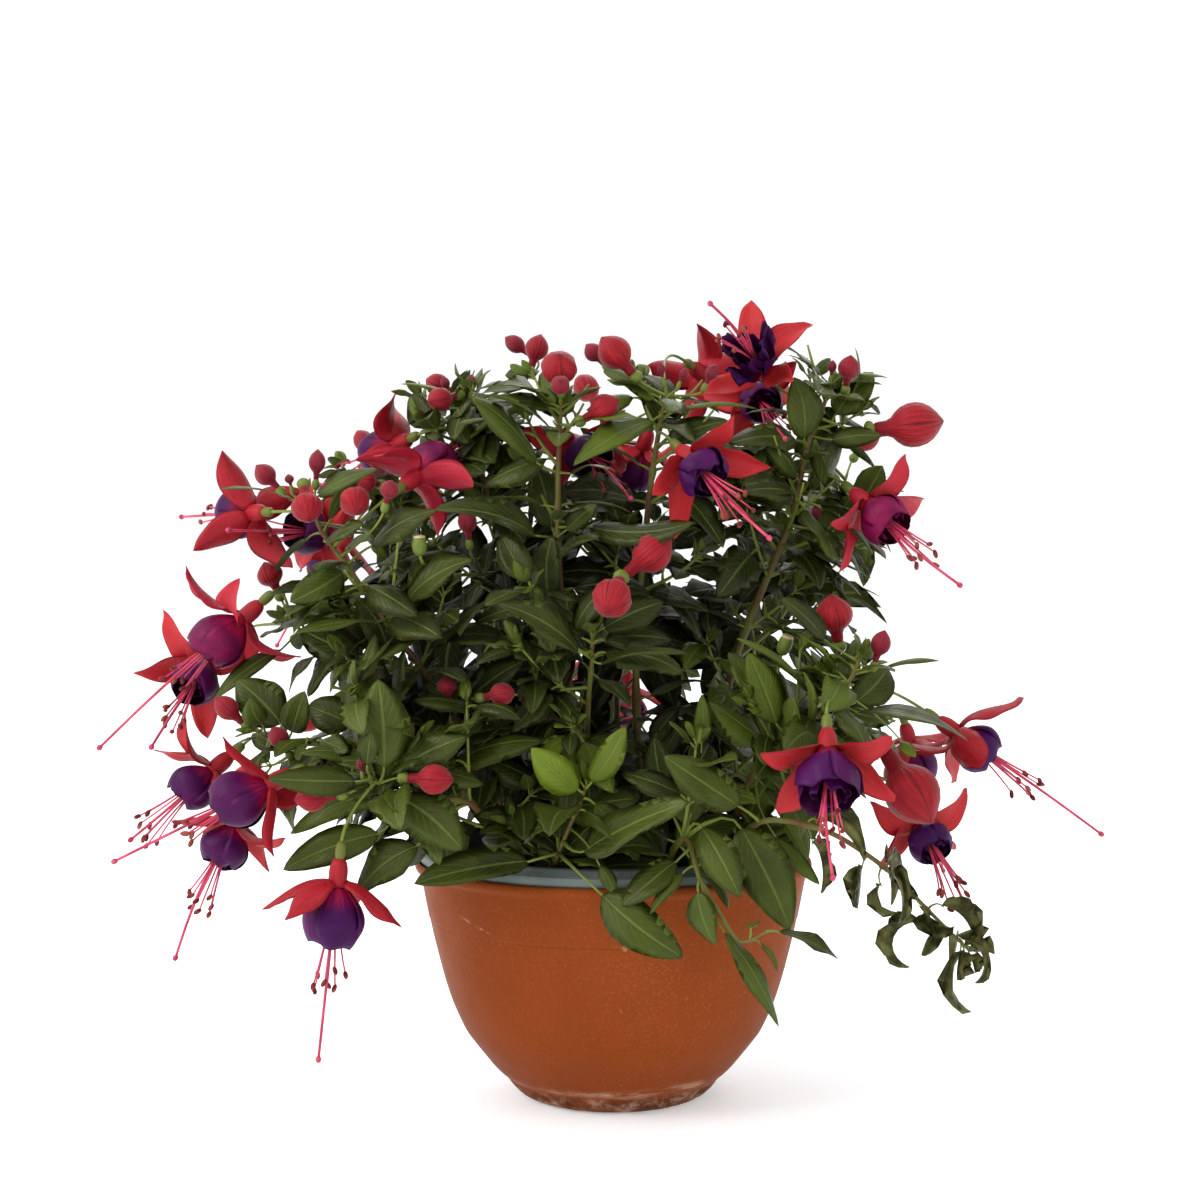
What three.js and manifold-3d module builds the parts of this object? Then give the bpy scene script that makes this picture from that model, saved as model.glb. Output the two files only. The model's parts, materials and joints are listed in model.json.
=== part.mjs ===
// A fuchsia in a round-bottomed hanging bowl, standing on the bowl's flat foot.
// Millimetres, +Z up, origin at the middle of the foot on the surface it stands on, -Y towards the viewer.
//
// The terracotta bowl holds a grey inner pot, which holds the soil. Branching leafy stems stand in
// plain holes in the soil. Each stem carries leaves in opposite pairs, buds, and the green stalk and
// ovary of each bloom. A bloom is a red solid (tube, four sepals, stamens and style) and a violet cup.
import * as THREE from "three";
import { mergeVertices } from "three/addons/utils/BufferGeometryUtils.js";
import Module from "manifold-3d";

const wasm = await Module();
wasm.setup();

// ---- Driving dimensions, in millimetres unless named otherwise -----------------------------------

// The eye that the photograph was taken from. Its picture is 1200 px square.
const EYE = { x: -7.4, distance: 1200, height: 310, focalPx: 2183, centrePx: 600, horizonPx: 531 };

// Outer outline of the bowl from the foot up, as [radius, height].
const BOWL_OUTLINE = [
  [46.5, 0], [54, 3.5], [59.5, 11], [71.5, 24.5], [81.7, 38],
  [88.6, 53], [96.2, 78], [100.9, 99], [105.6, 122],
];
const LINER_HEIGHTS = [24.5, 53, 99]; // where the inner pot and the soil follow the bowl's wall
const BOWL_WALL = 2;
const BEAD = { radius: 110, low: 124, high: 130 }; // the rolled edge round the bowl's mouth
const FIT_GAP = 0.4; // between bowl, inner pot and soil
const POT_WALL = 1.6;
const COLLAR = { outer: 106.4, inner: 101.5, shoulder: 136.5, top: 139.5 }; // the grey pot's lip
const DRAIN_HOLES = { count: 4, sides: 6, radius: 5, ring: 26 };
const SOIL = { edge: 120, crown: 123.5, depth: 88 };
const ROUND_SIDES = 24;

const LEAF = { length: 48, shape: 0.48, stalk: 9, thick: 1.4, wave: 0.35, stalkWidth: 2.6, spacing: 43 };
const BLOOM = {
  tube: 13, tubeWide: 5.2, tubeNeck: 2.6, mouth: 4.4, ovary: 9, ovaryWide: 2.6,
  sepal: 39, sepalWidth: 12.5, sepalThick: 1.2,
  corolla: 25, corollaWide: 14, cupHole: 2.1, lap: 0.16, rimWave: 1.4,
  styleThick: 1.2, stamen: 44, stamenCount: 3,
};
const EVEN_SLACK = 0.38; // radians by which a sepal may stand off its place in the cross of four
const CUP_SIDES = 8;
const STALK = { radius: 0.85 };
const BIG_BUD = 7; // half width from which a bud is modelled with six sides
const CLEARANCE = 0.9; // how much thicker and wider a blade is made when it is tried for room

// ---- The plant, read off the photograph ----------------------------------------------------------
// A point is [px, py, depth]: its place in the 1200 px picture and its depth Y in millimetres.
// Where "room" is set, points are [x, y, z] in millimetres.

const STEMS = [
  { node: "stem_centre", name: "centre", root: [-6, -16], radius: 2.7,
    path: [[585, 770, -38], [565, 650, -52], [559, 560, -60],
      [558, 480, -62], [560, 425, -63], [561, 402, -63]] },
  { node: "stem_centre", name: "centre_side", from: ["centre", 1], radius: 1.9,
    path: [[588, 705, -72], [592, 660, -92], [592, 632, -98]] },
  { node: "stem_front", name: "front", root: [-30, -72], radius: 1.9,
    path: [[557, 858, -92], [576, 812, -98], [588, 782, -98]] },
  { node: "stem_upper_left", name: "upper_left", root: [-34, 6], radius: 2.5,
    path: [[520, 660, 4], [496, 530, 0], [475, 448, -5], [467, 425, -8], [463, 403, -10]] },
  { node: "stem_upper_left", name: "back_left", from: ["upper_left", 1], radius: 2, room: 1,
    path: [[-95, 75, 262], [-128, 112, 310], [-142, 130, 345]] },
  { node: "stem_left", name: "left", root: [-44, -28], radius: 2.5,
    path: [[470, 745, -50], [424, 672, -64], [390, 628, -70],
      [347, 566, -70], [322, 532, -68], [312, 508, -66]] },
  { node: "stem_left", name: "left_arm", from: ["left", 2], radius: 1.7,
    path: [[372, 658, -54], [322, 640, -46], [287, 622, -42]] },
  { node: "stem_upper_right", name: "upper_right", root: [16, -10], radius: 2.5,
    path: [[636, 660, -30], [648, 510, -45], [655, 455, -48], [662, 415, -50], [667, 393, -50]] },
  { node: "stem_right", name: "right", root: [44, 2], radius: 2.6,
    path: [[735, 660, -2], [775, 560, -14], [791, 520, -18],
      [800, 480, -20], [808, 445, -20], [822, 410, -18], [831, 384, -18]] },
  { node: "stem_right", name: "back_right", from: ["right", 1], radius: 2, room: 1,
    path: [[98, 62, 262], [128, 100, 312], [142, 118, 345]] },
  { node: "stem_low_right", name: "low_right", root: [58, -34], radius: 2.5,
    path: [[748, 785, -58], [775, 752, -76], [800, 728, -88],
      [829, 703, -94], [850, 680, -98], [861, 655, -98]] },
  { node: "stem_wilted", name: "wilted", root: [54, -48], radius: 1.9,
    path: [[760, 822, -106], [826, 831, -112], [888, 870, -106],
      [923, 905, -102], [948, 930, -100], [970, 951, -98]] },
  { node: "stem_front_right", name: "front_right", root: [26, -78], radius: 2,
    path: [[684, 838, -108], [700, 880, -126], [714, 922, -130]] },
  { node: "stem_front_right", name: "trailing", from: ["front_right", 2], radius: 1.4,
    path: [[738, 940, -133], [770, 930, -136]] },
  { node: "stem_low_left", name: "low_left", root: [-56, -46], radius: 2.3,
    path: [[474, 806, -92], [430, 798, -110], [392, 793, -118], [372, 776, -122]] },
  { node: "stem_low_left", name: "mid_left", from: ["low_left", 1], radius: 1.9,
    path: [[430, 748, -72], [360, 742, -72], [298, 744, -74], [254, 730, -76]] },
  { node: "stem_back", name: "back", root: [2, 42], radius: 2.6, room: 1,
    path: [[2, 72, 220], [-4, 92, 310], [-4, 100, 372]] },
  { node: "stem_back", name: "back_low", from: ["back", 1], radius: 2, room: 1,
    path: [[6, 122, 228], [12, 168, 236], [14, 196, 222]] },
  { node: "stem_back", name: "back_low_left", from: ["back", 0], radius: 2, room: 1,
    path: [[-62, 96, 176], [-118, 132, 196], [-160, 150, 190]] },
  { node: "stem_back", name: "back_low_right", from: ["back", 0], radius: 2, room: 1,
    path: [[66, 92, 176], [124, 124, 196], [166, 138, 190]] },
];

// A bloom: the mouth of its tube, the tip of its style, and the tips of its sepals.
const BLOOMS = [
  { name: "01", stem: "low_left", mouth: [337, 885, -128], style: [318, 1063, -128],
    sepals: [[262, 912, -126], [285, 931, -150], [392, 942, -134], [352, 905, -96]] },
  { name: "02", stem: "mid_left", mouth: [268, 785, -112], style: [111, 863, -122],
    sepals: [[222, 735, -124], [312, 784, -88], [278, 862, -124], [236, 800, -78]] },
  { name: "03", stem: "mid_left", mouth: [212, 771, -44], style: [128, 842, -58],
    sepals: [[141, 769, -46], [187, 722, -40], [171, 828, -62], [232, 812, -22]] },
  { name: "04", stem: "mid_left", mouth: [234, 826, -62], style: [174, 961, -80],
    sepals: [[262, 880, -50], [290, 842, -60], [176, 822, -66], [204, 846, -32]] },
  { name: "05", stem: "left_arm", mouth: [242, 620, -52], style: [97, 750, -60],
    sepals: [[180, 559, -56], [303, 657, -58], [240, 578, -84], [228, 690, -28]] },
  { name: "06", stem: "left_arm", mouth: [204, 668, -14], style: [150, 749, -80],
    sepals: [[154, 618, -12], [208, 742, -2], [160, 700, -44], [246, 640, -6]] },
  { name: "07", stem: "left", mouth: [252, 513, -34], style: [180, 517, 32],
    sepals: [[222, 450, -40], [193, 551, -46], [293, 568, -40], [300, 492, -18]] },
  { name: "08", stem: "left", mouth: [324, 532, 4], style: [226, 530, -52],
    sepals: [[304, 566, 22], [350, 572, -6], [352, 498, 2], [312, 484, 14]] },
  { name: "09", stem: "upper_left", mouth: [396, 446, 6], style: [318, 486, 66],
    sepals: [[368, 408, 20], [404, 396, -6], [374, 470, -22], [424, 488, 20]] },
  { name: "10", stem: "left", mouth: [417, 476, -52], style: [493, 422, 6],
    sepals: [[364, 454, -56], [378, 492, -78], [438, 538, -40], [474, 486, -76]] },
  { name: "11", stem: "right", mouth: [761, 367, -20], style: [709, 302, -86],
    sepals: [[787, 298, -14], [814, 320, -2], [790, 378, -48], [699, 392, -32]] },
  { name: "12", stem: "back_right", mouth: [757, 396, 30], style: [786, 440, -40],
    sepals: [[744, 426, 6], [792, 392, 4], [712, 400, 44], [776, 362, 56]] },
  { name: "13", stem: "upper_right", mouth: [702, 374, 24], style: [752, 412, 84],
    sepals: [[701, 332, 6], [660, 366, 14], [688, 418, 26], [738, 352, 40]] },
  { name: "14", stem: "upper_right", mouth: [692, 461, -92], style: [771, 540, -152],
    sepals: [[730, 428, -100], [661, 510, -106], [716, 528, -118], [776, 468, -86]] },
  { name: "15", stem: "right", mouth: [868, 505, -44], style: [962, 587, -92],
    sepals: [[904, 456, -46], [926, 498, -18], [833, 530, -60], [836, 565, -62]] },
  { name: "16", stem: "low_right", mouth: [828, 752, -146], style: [833, 881, -192],
    sepals: [[758, 757, -156], [886, 748, -152], [790, 838, -150], [904, 808, -142]] },
  { name: "17", stem: "low_right", mouth: [958, 734, -46], style: [1104, 836, -54],
    sepals: [[1031, 713, -54], [986, 792, -72], [918, 724, -46], [951, 824, -44]] },
  { name: "18", stem: "low_right", mouth: [922, 828, -52], style: [970, 915, -100],
    sepals: [[862, 812, -58], [964, 790, -44], [884, 866, -64], [946, 846, -16]] },
  { name: "19", stem: "centre", mouth: [580, 447, -14], style: [632, 500, -78],
    sepals: [[532, 432, -18], [618, 416, -8], [560, 492, -34], [626, 470, 6]] },
  { name: "20", stem: "back", mouth: [642, 450, 96], style: [600, 560, 128],
    sepals: [[612, 462, 86], [688, 424, 90], [664, 500, 112], [632, 440, 136]] },
  { name: "21", stem: "back_low", room: 1, mouth: [10, 226, 206], style: [10, 244, 118],
    sepals: [[-27, 228, 196], [10, 262, 196], [47, 226, 198], [12, 192, 190]] },
  { name: "22", stem: "back_left", room: 1, mouth: [-168, 150, 300], style: [-214, 190, 236],
    sepals: [[-196, 126, 306], [-146, 176, 282], [-160, 162, 334], [-184, 146, 266]] },
  { name: "23", stem: "back_low_right", room: 1, mouth: [186, 160, 178], style: [212, 186, 92],
    sepals: [[208, 132, 186], [170, 190, 168], [218, 178, 186], [166, 138, 156]] },
];

// A bud: the end of its stalk, its tip and its half width.
const BUDS = [
  { stem: "right", base: [874, 430, -22], tip: [944, 421, -22], wide: 12.3 },
  { stem: "centre_side", base: [620, 580, -104], tip: [606, 612, -128], wide: 9.6 },
  { stem: "centre_side", base: [626, 574, -92], tip: [671, 538, -96], wide: 9.4 },
  { stem: "low_left", base: [408, 778, -128], tip: [454, 780, -132], wide: 7.6 },
  { stem: "low_left", base: [337, 795, -126], tip: [294, 800, -128], wide: 6.8 },
  { stem: "centre_side", base: [484, 697, -96], tip: [515, 692, -102], wide: 5.8 },
  { stem: "left", base: [448, 700, -86], tip: [446, 676, -88], wide: 5.1 },
  { stem: "low_right", base: [838, 642, -70], tip: [831, 594, -74], wide: 9.4 },
  { stem: "low_right", base: [875, 662, -98], tip: [885, 630, -100], wide: 4.9 },
  { stem: "left", base: [304, 488, -74], tip: [309, 522, -86], wide: 7.8 },
  { stem: "left", base: [316, 480, -62], tip: [318, 449, -62], wide: 4.3 },
  { stem: "left", base: [278, 488, -64], tip: [256, 465, -66], wide: 5.2 },
  { stem: "left", base: [352, 484, -74], tip: [357, 514, -88], wide: 7.6 },
  { stem: "upper_left", base: [378, 484, -24], tip: [356, 480, -34], wide: 6.4 },
  { stem: "left", base: [386, 503, -92], tip: [392, 480, -96], wide: 4.8 },
  { stem: "upper_left", base: [469, 540, -50], tip: [466, 508, -52], wide: 4.8 },
  { stem: "left_arm", base: [278, 592, -22], tip: [264, 562, -24], wide: 6.8 },
  { stem: "upper_left", base: [456, 396, -22], tip: [428, 402, -34], wide: 6.4 },
  { stem: "upper_left", base: [452, 392, 4], tip: [426, 379, 8], wide: 6.2 },
  { stem: "centre", base: [559, 386, -58], tip: [559, 354, -76], wide: 9.2 },
  { stem: "centre", base: [561, 392, -74], tip: [560, 380, -88], wide: 4.8 },
  { stem: "centre", base: [584, 419, -74], tip: [619, 399, -78], wide: 6.9 },
  { stem: "upper_left", base: [531, 368, -2], tip: [541, 334, 0], wide: 6.2 },
  { stem: "upper_left", base: [529, 354, 14], tip: [505, 337, 16], wide: 4.8 },
  { stem: "upper_right", base: [633, 374, -54], tip: [601, 337, -56], wide: 8.4 },
  { stem: "upper_right", base: [604, 364, -30], tip: [586, 344, -28], wide: 4.8 },
  { stem: "right", base: [846, 386, -22], tip: [851, 355, -28], wide: 5.6 },
  { stem: "mid_left", base: [243, 723, -80], tip: [215, 697, -82], wide: 5.9 },
  { stem: "mid_left", base: [288, 752, -86], tip: [272, 727, -92], wide: 5 },
  { stem: "low_right", base: [886, 752, -84], tip: [932, 824, -100], wide: 13.6 },
  { stem: "back", room: 1, base: [-10, 112, 386], tip: [-20, 132, 404], wide: 7.5 },
  { stem: "back_left", room: 1, base: [-146, 142, 356], tip: [-158, 154, 372], wide: 6 },
  { stem: "back_right", room: 1, base: [148, 128, 356], tip: [162, 140, 374], wide: 6.4 },
  { stem: "back_low", room: 1, base: [-6, 210, 226], tip: [-26, 226, 214], wide: 7.4 },
  { stem: "back_low_left", room: 1, base: [-176, 160, 196], tip: [-200, 166, 188], wide: 7 },
];

// A leaf that shows well: where its blade starts, its tip, its width and the way its upper side faces.
const FACING = {
  up: [0, -0.25, 1], tilted: [0, -0.8, 0.8], front: [0, -1, 0.3],
  left: [-0.7, -0.8, 0.4], right: [0.7, -0.8, 0.4],
};
const LEAVES = [
  { stem: "centre", base: [537, 463, -66], tip: [472, 397, -84], width: 19, face: "tilted" },
  { stem: "centre", base: [572, 474, -72], tip: [610, 470, -100], width: 12, face: "up" },
  { stem: "centre", base: [535, 536, -74], tip: [434, 510, -104], width: 21, face: "tilted" },
  { stem: "centre", base: [590, 543, -82], tip: [696, 538, -112], width: 20, face: "tilted" },
  { stem: "centre", base: [549, 427, -68], tip: [474, 394, -92], width: 15, face: "up" },
  { stem: "centre", base: [572, 426, -70], tip: [640, 418, -84], width: 15, face: "up" },
  { stem: "centre", base: [552, 528, -52], tip: [536, 466, -44], width: 20, face: "front" },
  { stem: "centre", base: [567, 530, -78], tip: [597, 504, -88], width: 12, face: "front" },
  { stem: "centre", base: [552, 404, -66], tip: [516, 386, -84], width: 10, face: "up" },
  { stem: "centre", base: [568, 404, -66], tip: [602, 387, -86], width: 10, face: "up" },
  { stem: "centre_side", base: [601, 664, -104], tip: [688, 654, -128], width: 17, face: "up" },
  { stem: "centre_side", base: [578, 652, -104], tip: [498, 604, -118], width: 21, face: "tilted" },
  { stem: "centre_side", base: [604, 628, -92], tip: [664, 602, -84], width: 20, face: "front" },
  { stem: "centre_side", base: [580, 622, -90], tip: [546, 592, -78], width: 17, face: "front" },
  { stem: "upper_right", base: [652, 421, -56], tip: [573, 466, -96], width: 18, face: "tilted" },
  { stem: "upper_right", base: [668, 443, -56], tip: [729, 421, -62], width: 17, face: "tilted" },
  { stem: "upper_right", base: [675, 411, -54], tip: [758, 409, -66], width: 10, face: "up" },
  { stem: "upper_right", base: [655, 400, -50], tip: [603, 371, -38], width: 14, face: "tilted" },
  { stem: "upper_left", base: [454, 396, -16], tip: [400, 384, -30], width: 8, face: "up" },
  { stem: "upper_left", base: [470, 395, -14], tip: [519, 383, -26], width: 9, face: "up" },
  { stem: "left", base: [343, 573, -76], tip: [290, 602, -92], width: 21, face: "front" },
  { stem: "left", base: [378, 622, -82], tip: [295, 634, -104], width: 17, face: "up" },
  { stem: "left", base: [408, 600, -78], tip: [474, 560, -88], width: 23, face: "tilted" },
  { stem: "left", base: [372, 546, -76], tip: [438, 510, -84], width: 20, face: "tilted" },
  { stem: "left", base: [326, 542, -76], tip: [364, 524, -90], width: 15, face: "tilted" },
  { stem: "left", base: [292, 500, -72], tip: [219, 490, -84], width: 10, face: "up" },
  { stem: "left", base: [318, 496, -70], tip: [379, 469, -80], width: 14, face: "tilted" },
  { stem: "left_arm", base: [281, 650, -50], tip: [213, 701, -58], width: 13, face: "left" },
  { stem: "left_arm", base: [333, 650, -50], tip: [308, 697, -58], width: 15, face: "left" },
  { stem: "mid_left", base: [292, 732, -80], tip: [305, 691, -92], width: 16, face: "front" },
  { stem: "mid_left", base: [281, 724, -76], tip: [236, 680, -70], width: 25, face: "front" },
  { stem: "mid_left", base: [262, 724, -84], tip: [250, 698, -94], width: 13, face: "front" },
  { stem: "mid_left", base: [352, 724, -70], tip: [308, 706, -64], width: 21, face: "front" },
  { stem: "low_left", base: [384, 768, -126], tip: [378, 679, -122], width: 27, face: "front" },
  { stem: "low_left", base: [356, 782, -130], tip: [267, 779, -142], width: 20, face: "tilted" },
  { stem: "low_left", base: [394, 776, -120], tip: [468, 736, -130], width: 21, face: "front" },
  { stem: "low_left", base: [367, 765, -134], tip: [371, 731, -138], width: 11, face: "front" },
  { stem: "low_left", base: [400, 798, -122], tip: [462, 850, -138], width: 27, face: "front" },
  { stem: "low_left", base: [384, 794, -108], tip: [290, 834, -112], width: 16, face: "tilted" },
  { stem: "low_left", base: [379, 834, -112], tip: [283, 870, -114], width: 19, face: "front" },
  { stem: "low_left", base: [418, 846, -122], tip: [356, 896, -124], width: 24, face: "left" },
  { stem: "front", base: [528, 862, -112], tip: [414, 884, -132], width: 23, face: "tilted" },
  { stem: "front", base: [584, 852, -108], tip: [690, 802, -136], width: 26, face: "tilted" },
  { stem: "front", base: [602, 895, -120], tip: [683, 958, -132], width: 24, face: "front" },
  { stem: "front", base: [578, 790, -104], tip: [531, 748, -118], width: 19, face: "front" },
  { stem: "front", base: [592, 782, -102], tip: [626, 726, -108], width: 15, face: "front" },
  { stem: "front_right", base: [676, 862, -118], tip: [622, 906, -128], width: 18, face: "tilted" },
  { stem: "front_right", base: [702, 828, -122], tip: [740, 898, -140], width: 20, face: "front" },
  { stem: "front_right", base: [741, 828, -122], tip: [790, 930, -138], width: 27, face: "front" },
  { stem: "front_right", base: [724, 932, -133], tip: [779, 1027, -128], width: 13, face: "right" },
  { stem: "front_right", base: [698, 892, -130], tip: [716, 945, -134], width: 16, face: "left" },
  { stem: "trailing", base: [779, 932, -136], tip: [839, 960, -136], width: 15, face: "up" },
  { stem: "wilted", base: [738, 806, -114], tip: [664, 756, -126], width: 22, face: "front" },
  { stem: "low_right", base: [858, 713, -102], tip: [968, 741, -116], width: 16, face: "up" },
  { stem: "low_right", base: [884, 668, -102], tip: [940, 661, -108], width: 9, face: "up" },
  { stem: "low_right", base: [856, 702, -86], tip: [888, 668, -76], width: 21, face: "front" },
  { stem: "low_right", base: [776, 724, -92], tip: [748, 652, -84], width: 21, face: "front" },
  { stem: "mid_left", base: [450, 766, -84], tip: [544, 741, -96], width: 21, face: "tilted" },
  { stem: "left", base: [466, 702, -66], tip: [526, 660, -76], width: 19, face: "tilted" },
  { stem: "centre", base: [584, 742, -60], tip: [654, 720, -84], width: 16, face: "up" },
  { stem: "low_right", base: [764, 742, -84], tip: [709, 702, -92], width: 20, face: "tilted" },
  { stem: "low_right", base: [808, 692, -98], tip: [736, 638, -112], width: 15, face: "up" },
  { stem: "low_right", base: [838, 672, -92], tip: [797, 634, -102], width: 14, face: "up" },
  { stem: "low_right", base: [824, 640, -84], tip: [780, 598, -88], width: 15, face: "tilted" },
  { stem: "front_right", base: [664, 786, -92], tip: [655, 736, -88], width: 18, face: "left" },
  { stem: "right", base: [804, 438, -26], tip: [794, 377, -30], width: 20, face: "front" },
  { stem: "right", base: [796, 477, -28], tip: [764, 442, -34], width: 17, face: "tilted" },
  { stem: "right", base: [832, 440, -24], tip: [882, 436, -32], width: 13, face: "front" },
  { stem: "right", base: [824, 379, -20], tip: [788, 355, -26], width: 8, face: "up" },
  { stem: "right", base: [853, 374, -14], tip: [888, 378, -20], width: 8, face: "up" },
  { stem: "right", base: [830, 398, -24], tip: [865, 401, -34], width: 11, face: "up" },
];

// Where a shoot's own pairs of leaves start and end, as shares of its length, and their size.
const PAIRS = {
  centre: [0.25, 0.9, 0.95], centre_side: [0.3, 0.8, 0.8], front: [0.3, 0.9, 0.7],
  upper_left: [0.22, 1, 0.92], back_left: [0.15, 1, 1], left: [0.2, 0.92, 0.95], left_arm: [0.2, 0.95, 0.8],
  upper_right: [0.22, 1, 0.95], right: [0.22, 1, 0.95], back_right: [0.15, 1, 1], low_right: [0.22, 1, 0.95],
  wilted: [0.3, 1, 0.7], front_right: [0.3, 0.8, 0.7], trailing: [0.5, 0.9, 0.45], low_left: [0.35, 0.9, 0.8],
  mid_left: [0.2, 0.78, 0.95], back: [0.2, 1, 1.05], back_low: [0.15, 1, 1], back_low_left: [0.2, 1, 1],
  back_low_right: [0.2, 1, 1],
};

// ---- Small vector helpers -------------------------------------------------------------------------

const vec = (x, y, z) => new THREE.Vector3(x, y, z);
const mix = (a, b, t) => a.clone().lerp(b, t);
const unit = (v) => v.clone().normalize();
const across = (v, axis) => v.clone().addScaledVector(axis, -v.dot(axis));
const clamp = (value, low, high) => Math.min(high, Math.max(low, value));

// The point of space that shows at a pixel of the photograph, at a given depth Y.
function photoPoint([px, py, depth]) {
  const pitch = Math.atan((EYE.centrePx - EYE.horizonPx) / EYE.focalPx);
  const right = (px - EYE.centrePx) / EYE.focalPx;
  const up = (EYE.centrePx - py) / EYE.focalPx;
  const ray = vec(right, Math.cos(pitch) + up * Math.sin(pitch), up * Math.cos(pitch) - Math.sin(pitch));
  const reach = (EYE.distance + depth) / ray.y;
  return vec(EYE.x + ray.x * reach, depth, EYE.height + ray.z * reach);
}

const place = (entry, point) => (entry.room ? vec(...point) : photoPoint(point));

// A small repeatable random source.
let seed = 20711;
function random(low, high) {
  seed = (seed * 1664525 + 1013904223) % 4294967296;
  return low + ((high - low) * seed) / 4294967296;
}

// The place on a chain of straight spans, at a share t of their number.
function along(points, t) {
  const i = Math.min(points.length - 2, Math.floor(t * (points.length - 1)));
  return mix(points[i], points[i + 1], t * (points.length - 1) - i);
}

// ---- Solids ---------------------------------------------------------------------------------------

function manifoldFrom(vertices, triangles) {
  const mesh = (flip) => new wasm.Mesh({
    numProp: 3,
    vertProperties: new Float32Array(vertices.flatMap((v) => [v.x, v.y, v.z])),
    triVerts: new Uint32Array(triangles.flatMap(([a, b, c]) => (flip ? [a, c, b] : [a, b, c]))),
  });
  const solid = new wasm.Manifold(mesh(false));
  return solid.volume() >= 0 ? solid : new wasm.Manifold(mesh(true));
}

// A skin of triangles that is joined up from rings of points. A ring may be a single point.
class Skin {
  vertices = [];
  triangles = [];

  ring(points) {
    this.vertices.push(...points);
    return points.map((_, k) => this.vertices.length - points.length + k);
  }

  // From the side "turnAt" on, four-sided faces are split along their other diagonal.
  join(low, high, turnAt = Infinity) {
    const sides = Math.max(low.length, high.length);
    for (let k = 0; k < sides; k++) {
      const next = (k + 1) % sides;
      const [a, b, c, d] = [low[k], low[next], high[next], high[k]];
      if (low.length === 1) this.triangles.push([low[0], c, d]);
      else if (high.length === 1) this.triangles.push([a, b, high[0]]);
      else if (k < turnAt) this.triangles.push([a, b, c], [a, c, d]);
      else this.triangles.push([a, b, d], [b, c, d]);
    }
    return high;
  }

  cap(ring) {
    for (let k = 1; k < ring.length - 1; k++) this.triangles.push([ring[0], ring[k], ring[k + 1]]);
  }

  solid() {
    return manifoldFrom(this.vertices, this.triangles);
  }
}

// A closed skin over a row of rings.
function loft(rings, turnAt) {
  const skin = new Skin();
  const rows = rings.map((points) => skin.ring(points));
  rows.reduce((low, high) => skin.join(low, high, turnAt));
  skin.cap([...rows[0]].reverse());
  skin.cap(rows.at(-1));
  return skin.solid();
}

// A round tube through points, with a radius at each.
function tube(points, radii, sides) {
  let side = null;
  const rings = points.map((point, i) => {
    const way = unit(points[Math.min(i + 1, points.length - 1)].clone().sub(points[Math.max(i - 1, 0)]));
    side = unit(across(side ?? (Math.abs(way.z) < 0.9 ? vec(0, 0, 1) : vec(1, 0, 0)), way));
    const other = way.clone().cross(side);
    if (radii[i] === 0) return [point];
    return Array.from({ length: sides }, (_, k) => {
      const angle = (2 * Math.PI * k) / sides;
      return point.clone()
        .addScaledVector(side, Math.cos(angle) * radii[i])
        .addScaledVector(other, Math.sin(angle) * radii[i]);
    });
  });
  return loft(rings);
}

// The cross-sections of a thin blade that is creased along its midrib, as [right edge, midrib, left edge].
// It lies on an arc from base to tip that bulges towards the side it faces. Its two edges wave together.
function bladeRings({ base, tip, face, width, curl, wave, thick, stations }, extra) {
  const chord = tip.clone().sub(base);
  const way = unit(chord);
  const up = unit(across(face, way));
  const side = way.clone().cross(up);
  const radius = chord.length() / (2 * Math.sin(curl / 2));
  return stations.map(([s, share, sign]) => {
    const turn = curl * (0.5 - s);
    const out = up.clone().multiplyScalar(Math.cos(turn)).addScaledVector(way, -Math.sin(turn));
    const centre = base.clone()
      .addScaledVector(way, radius * (Math.sin(curl / 2) - Math.sin(turn)))
      .addScaledVector(up, radius * (Math.cos(turn) - Math.cos(curl / 2)));
    const edge = (hand) => centre.clone().addScaledVector(side, (hand * (width * share + extra)) / 2)
      .addScaledVector(out, sign * wave - extra / 2);
    return [edge(-1), centre.clone().addScaledVector(out, thick + extra / 2), edge(1)];
  });
}

// A leaf on a stalk that runs to a point at "from", which lies inside what it grows from.
function leafSolid(leaf, extra = 0) {
  const foot = [0, leaf.stalkWidth / leaf.width, 0];
  const rings = bladeRings({ ...leaf, stations: [foot, ...leaf.stations] }, extra);
  return loft([[leaf.from], ...rings, [leaf.tip]]);
}

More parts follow.
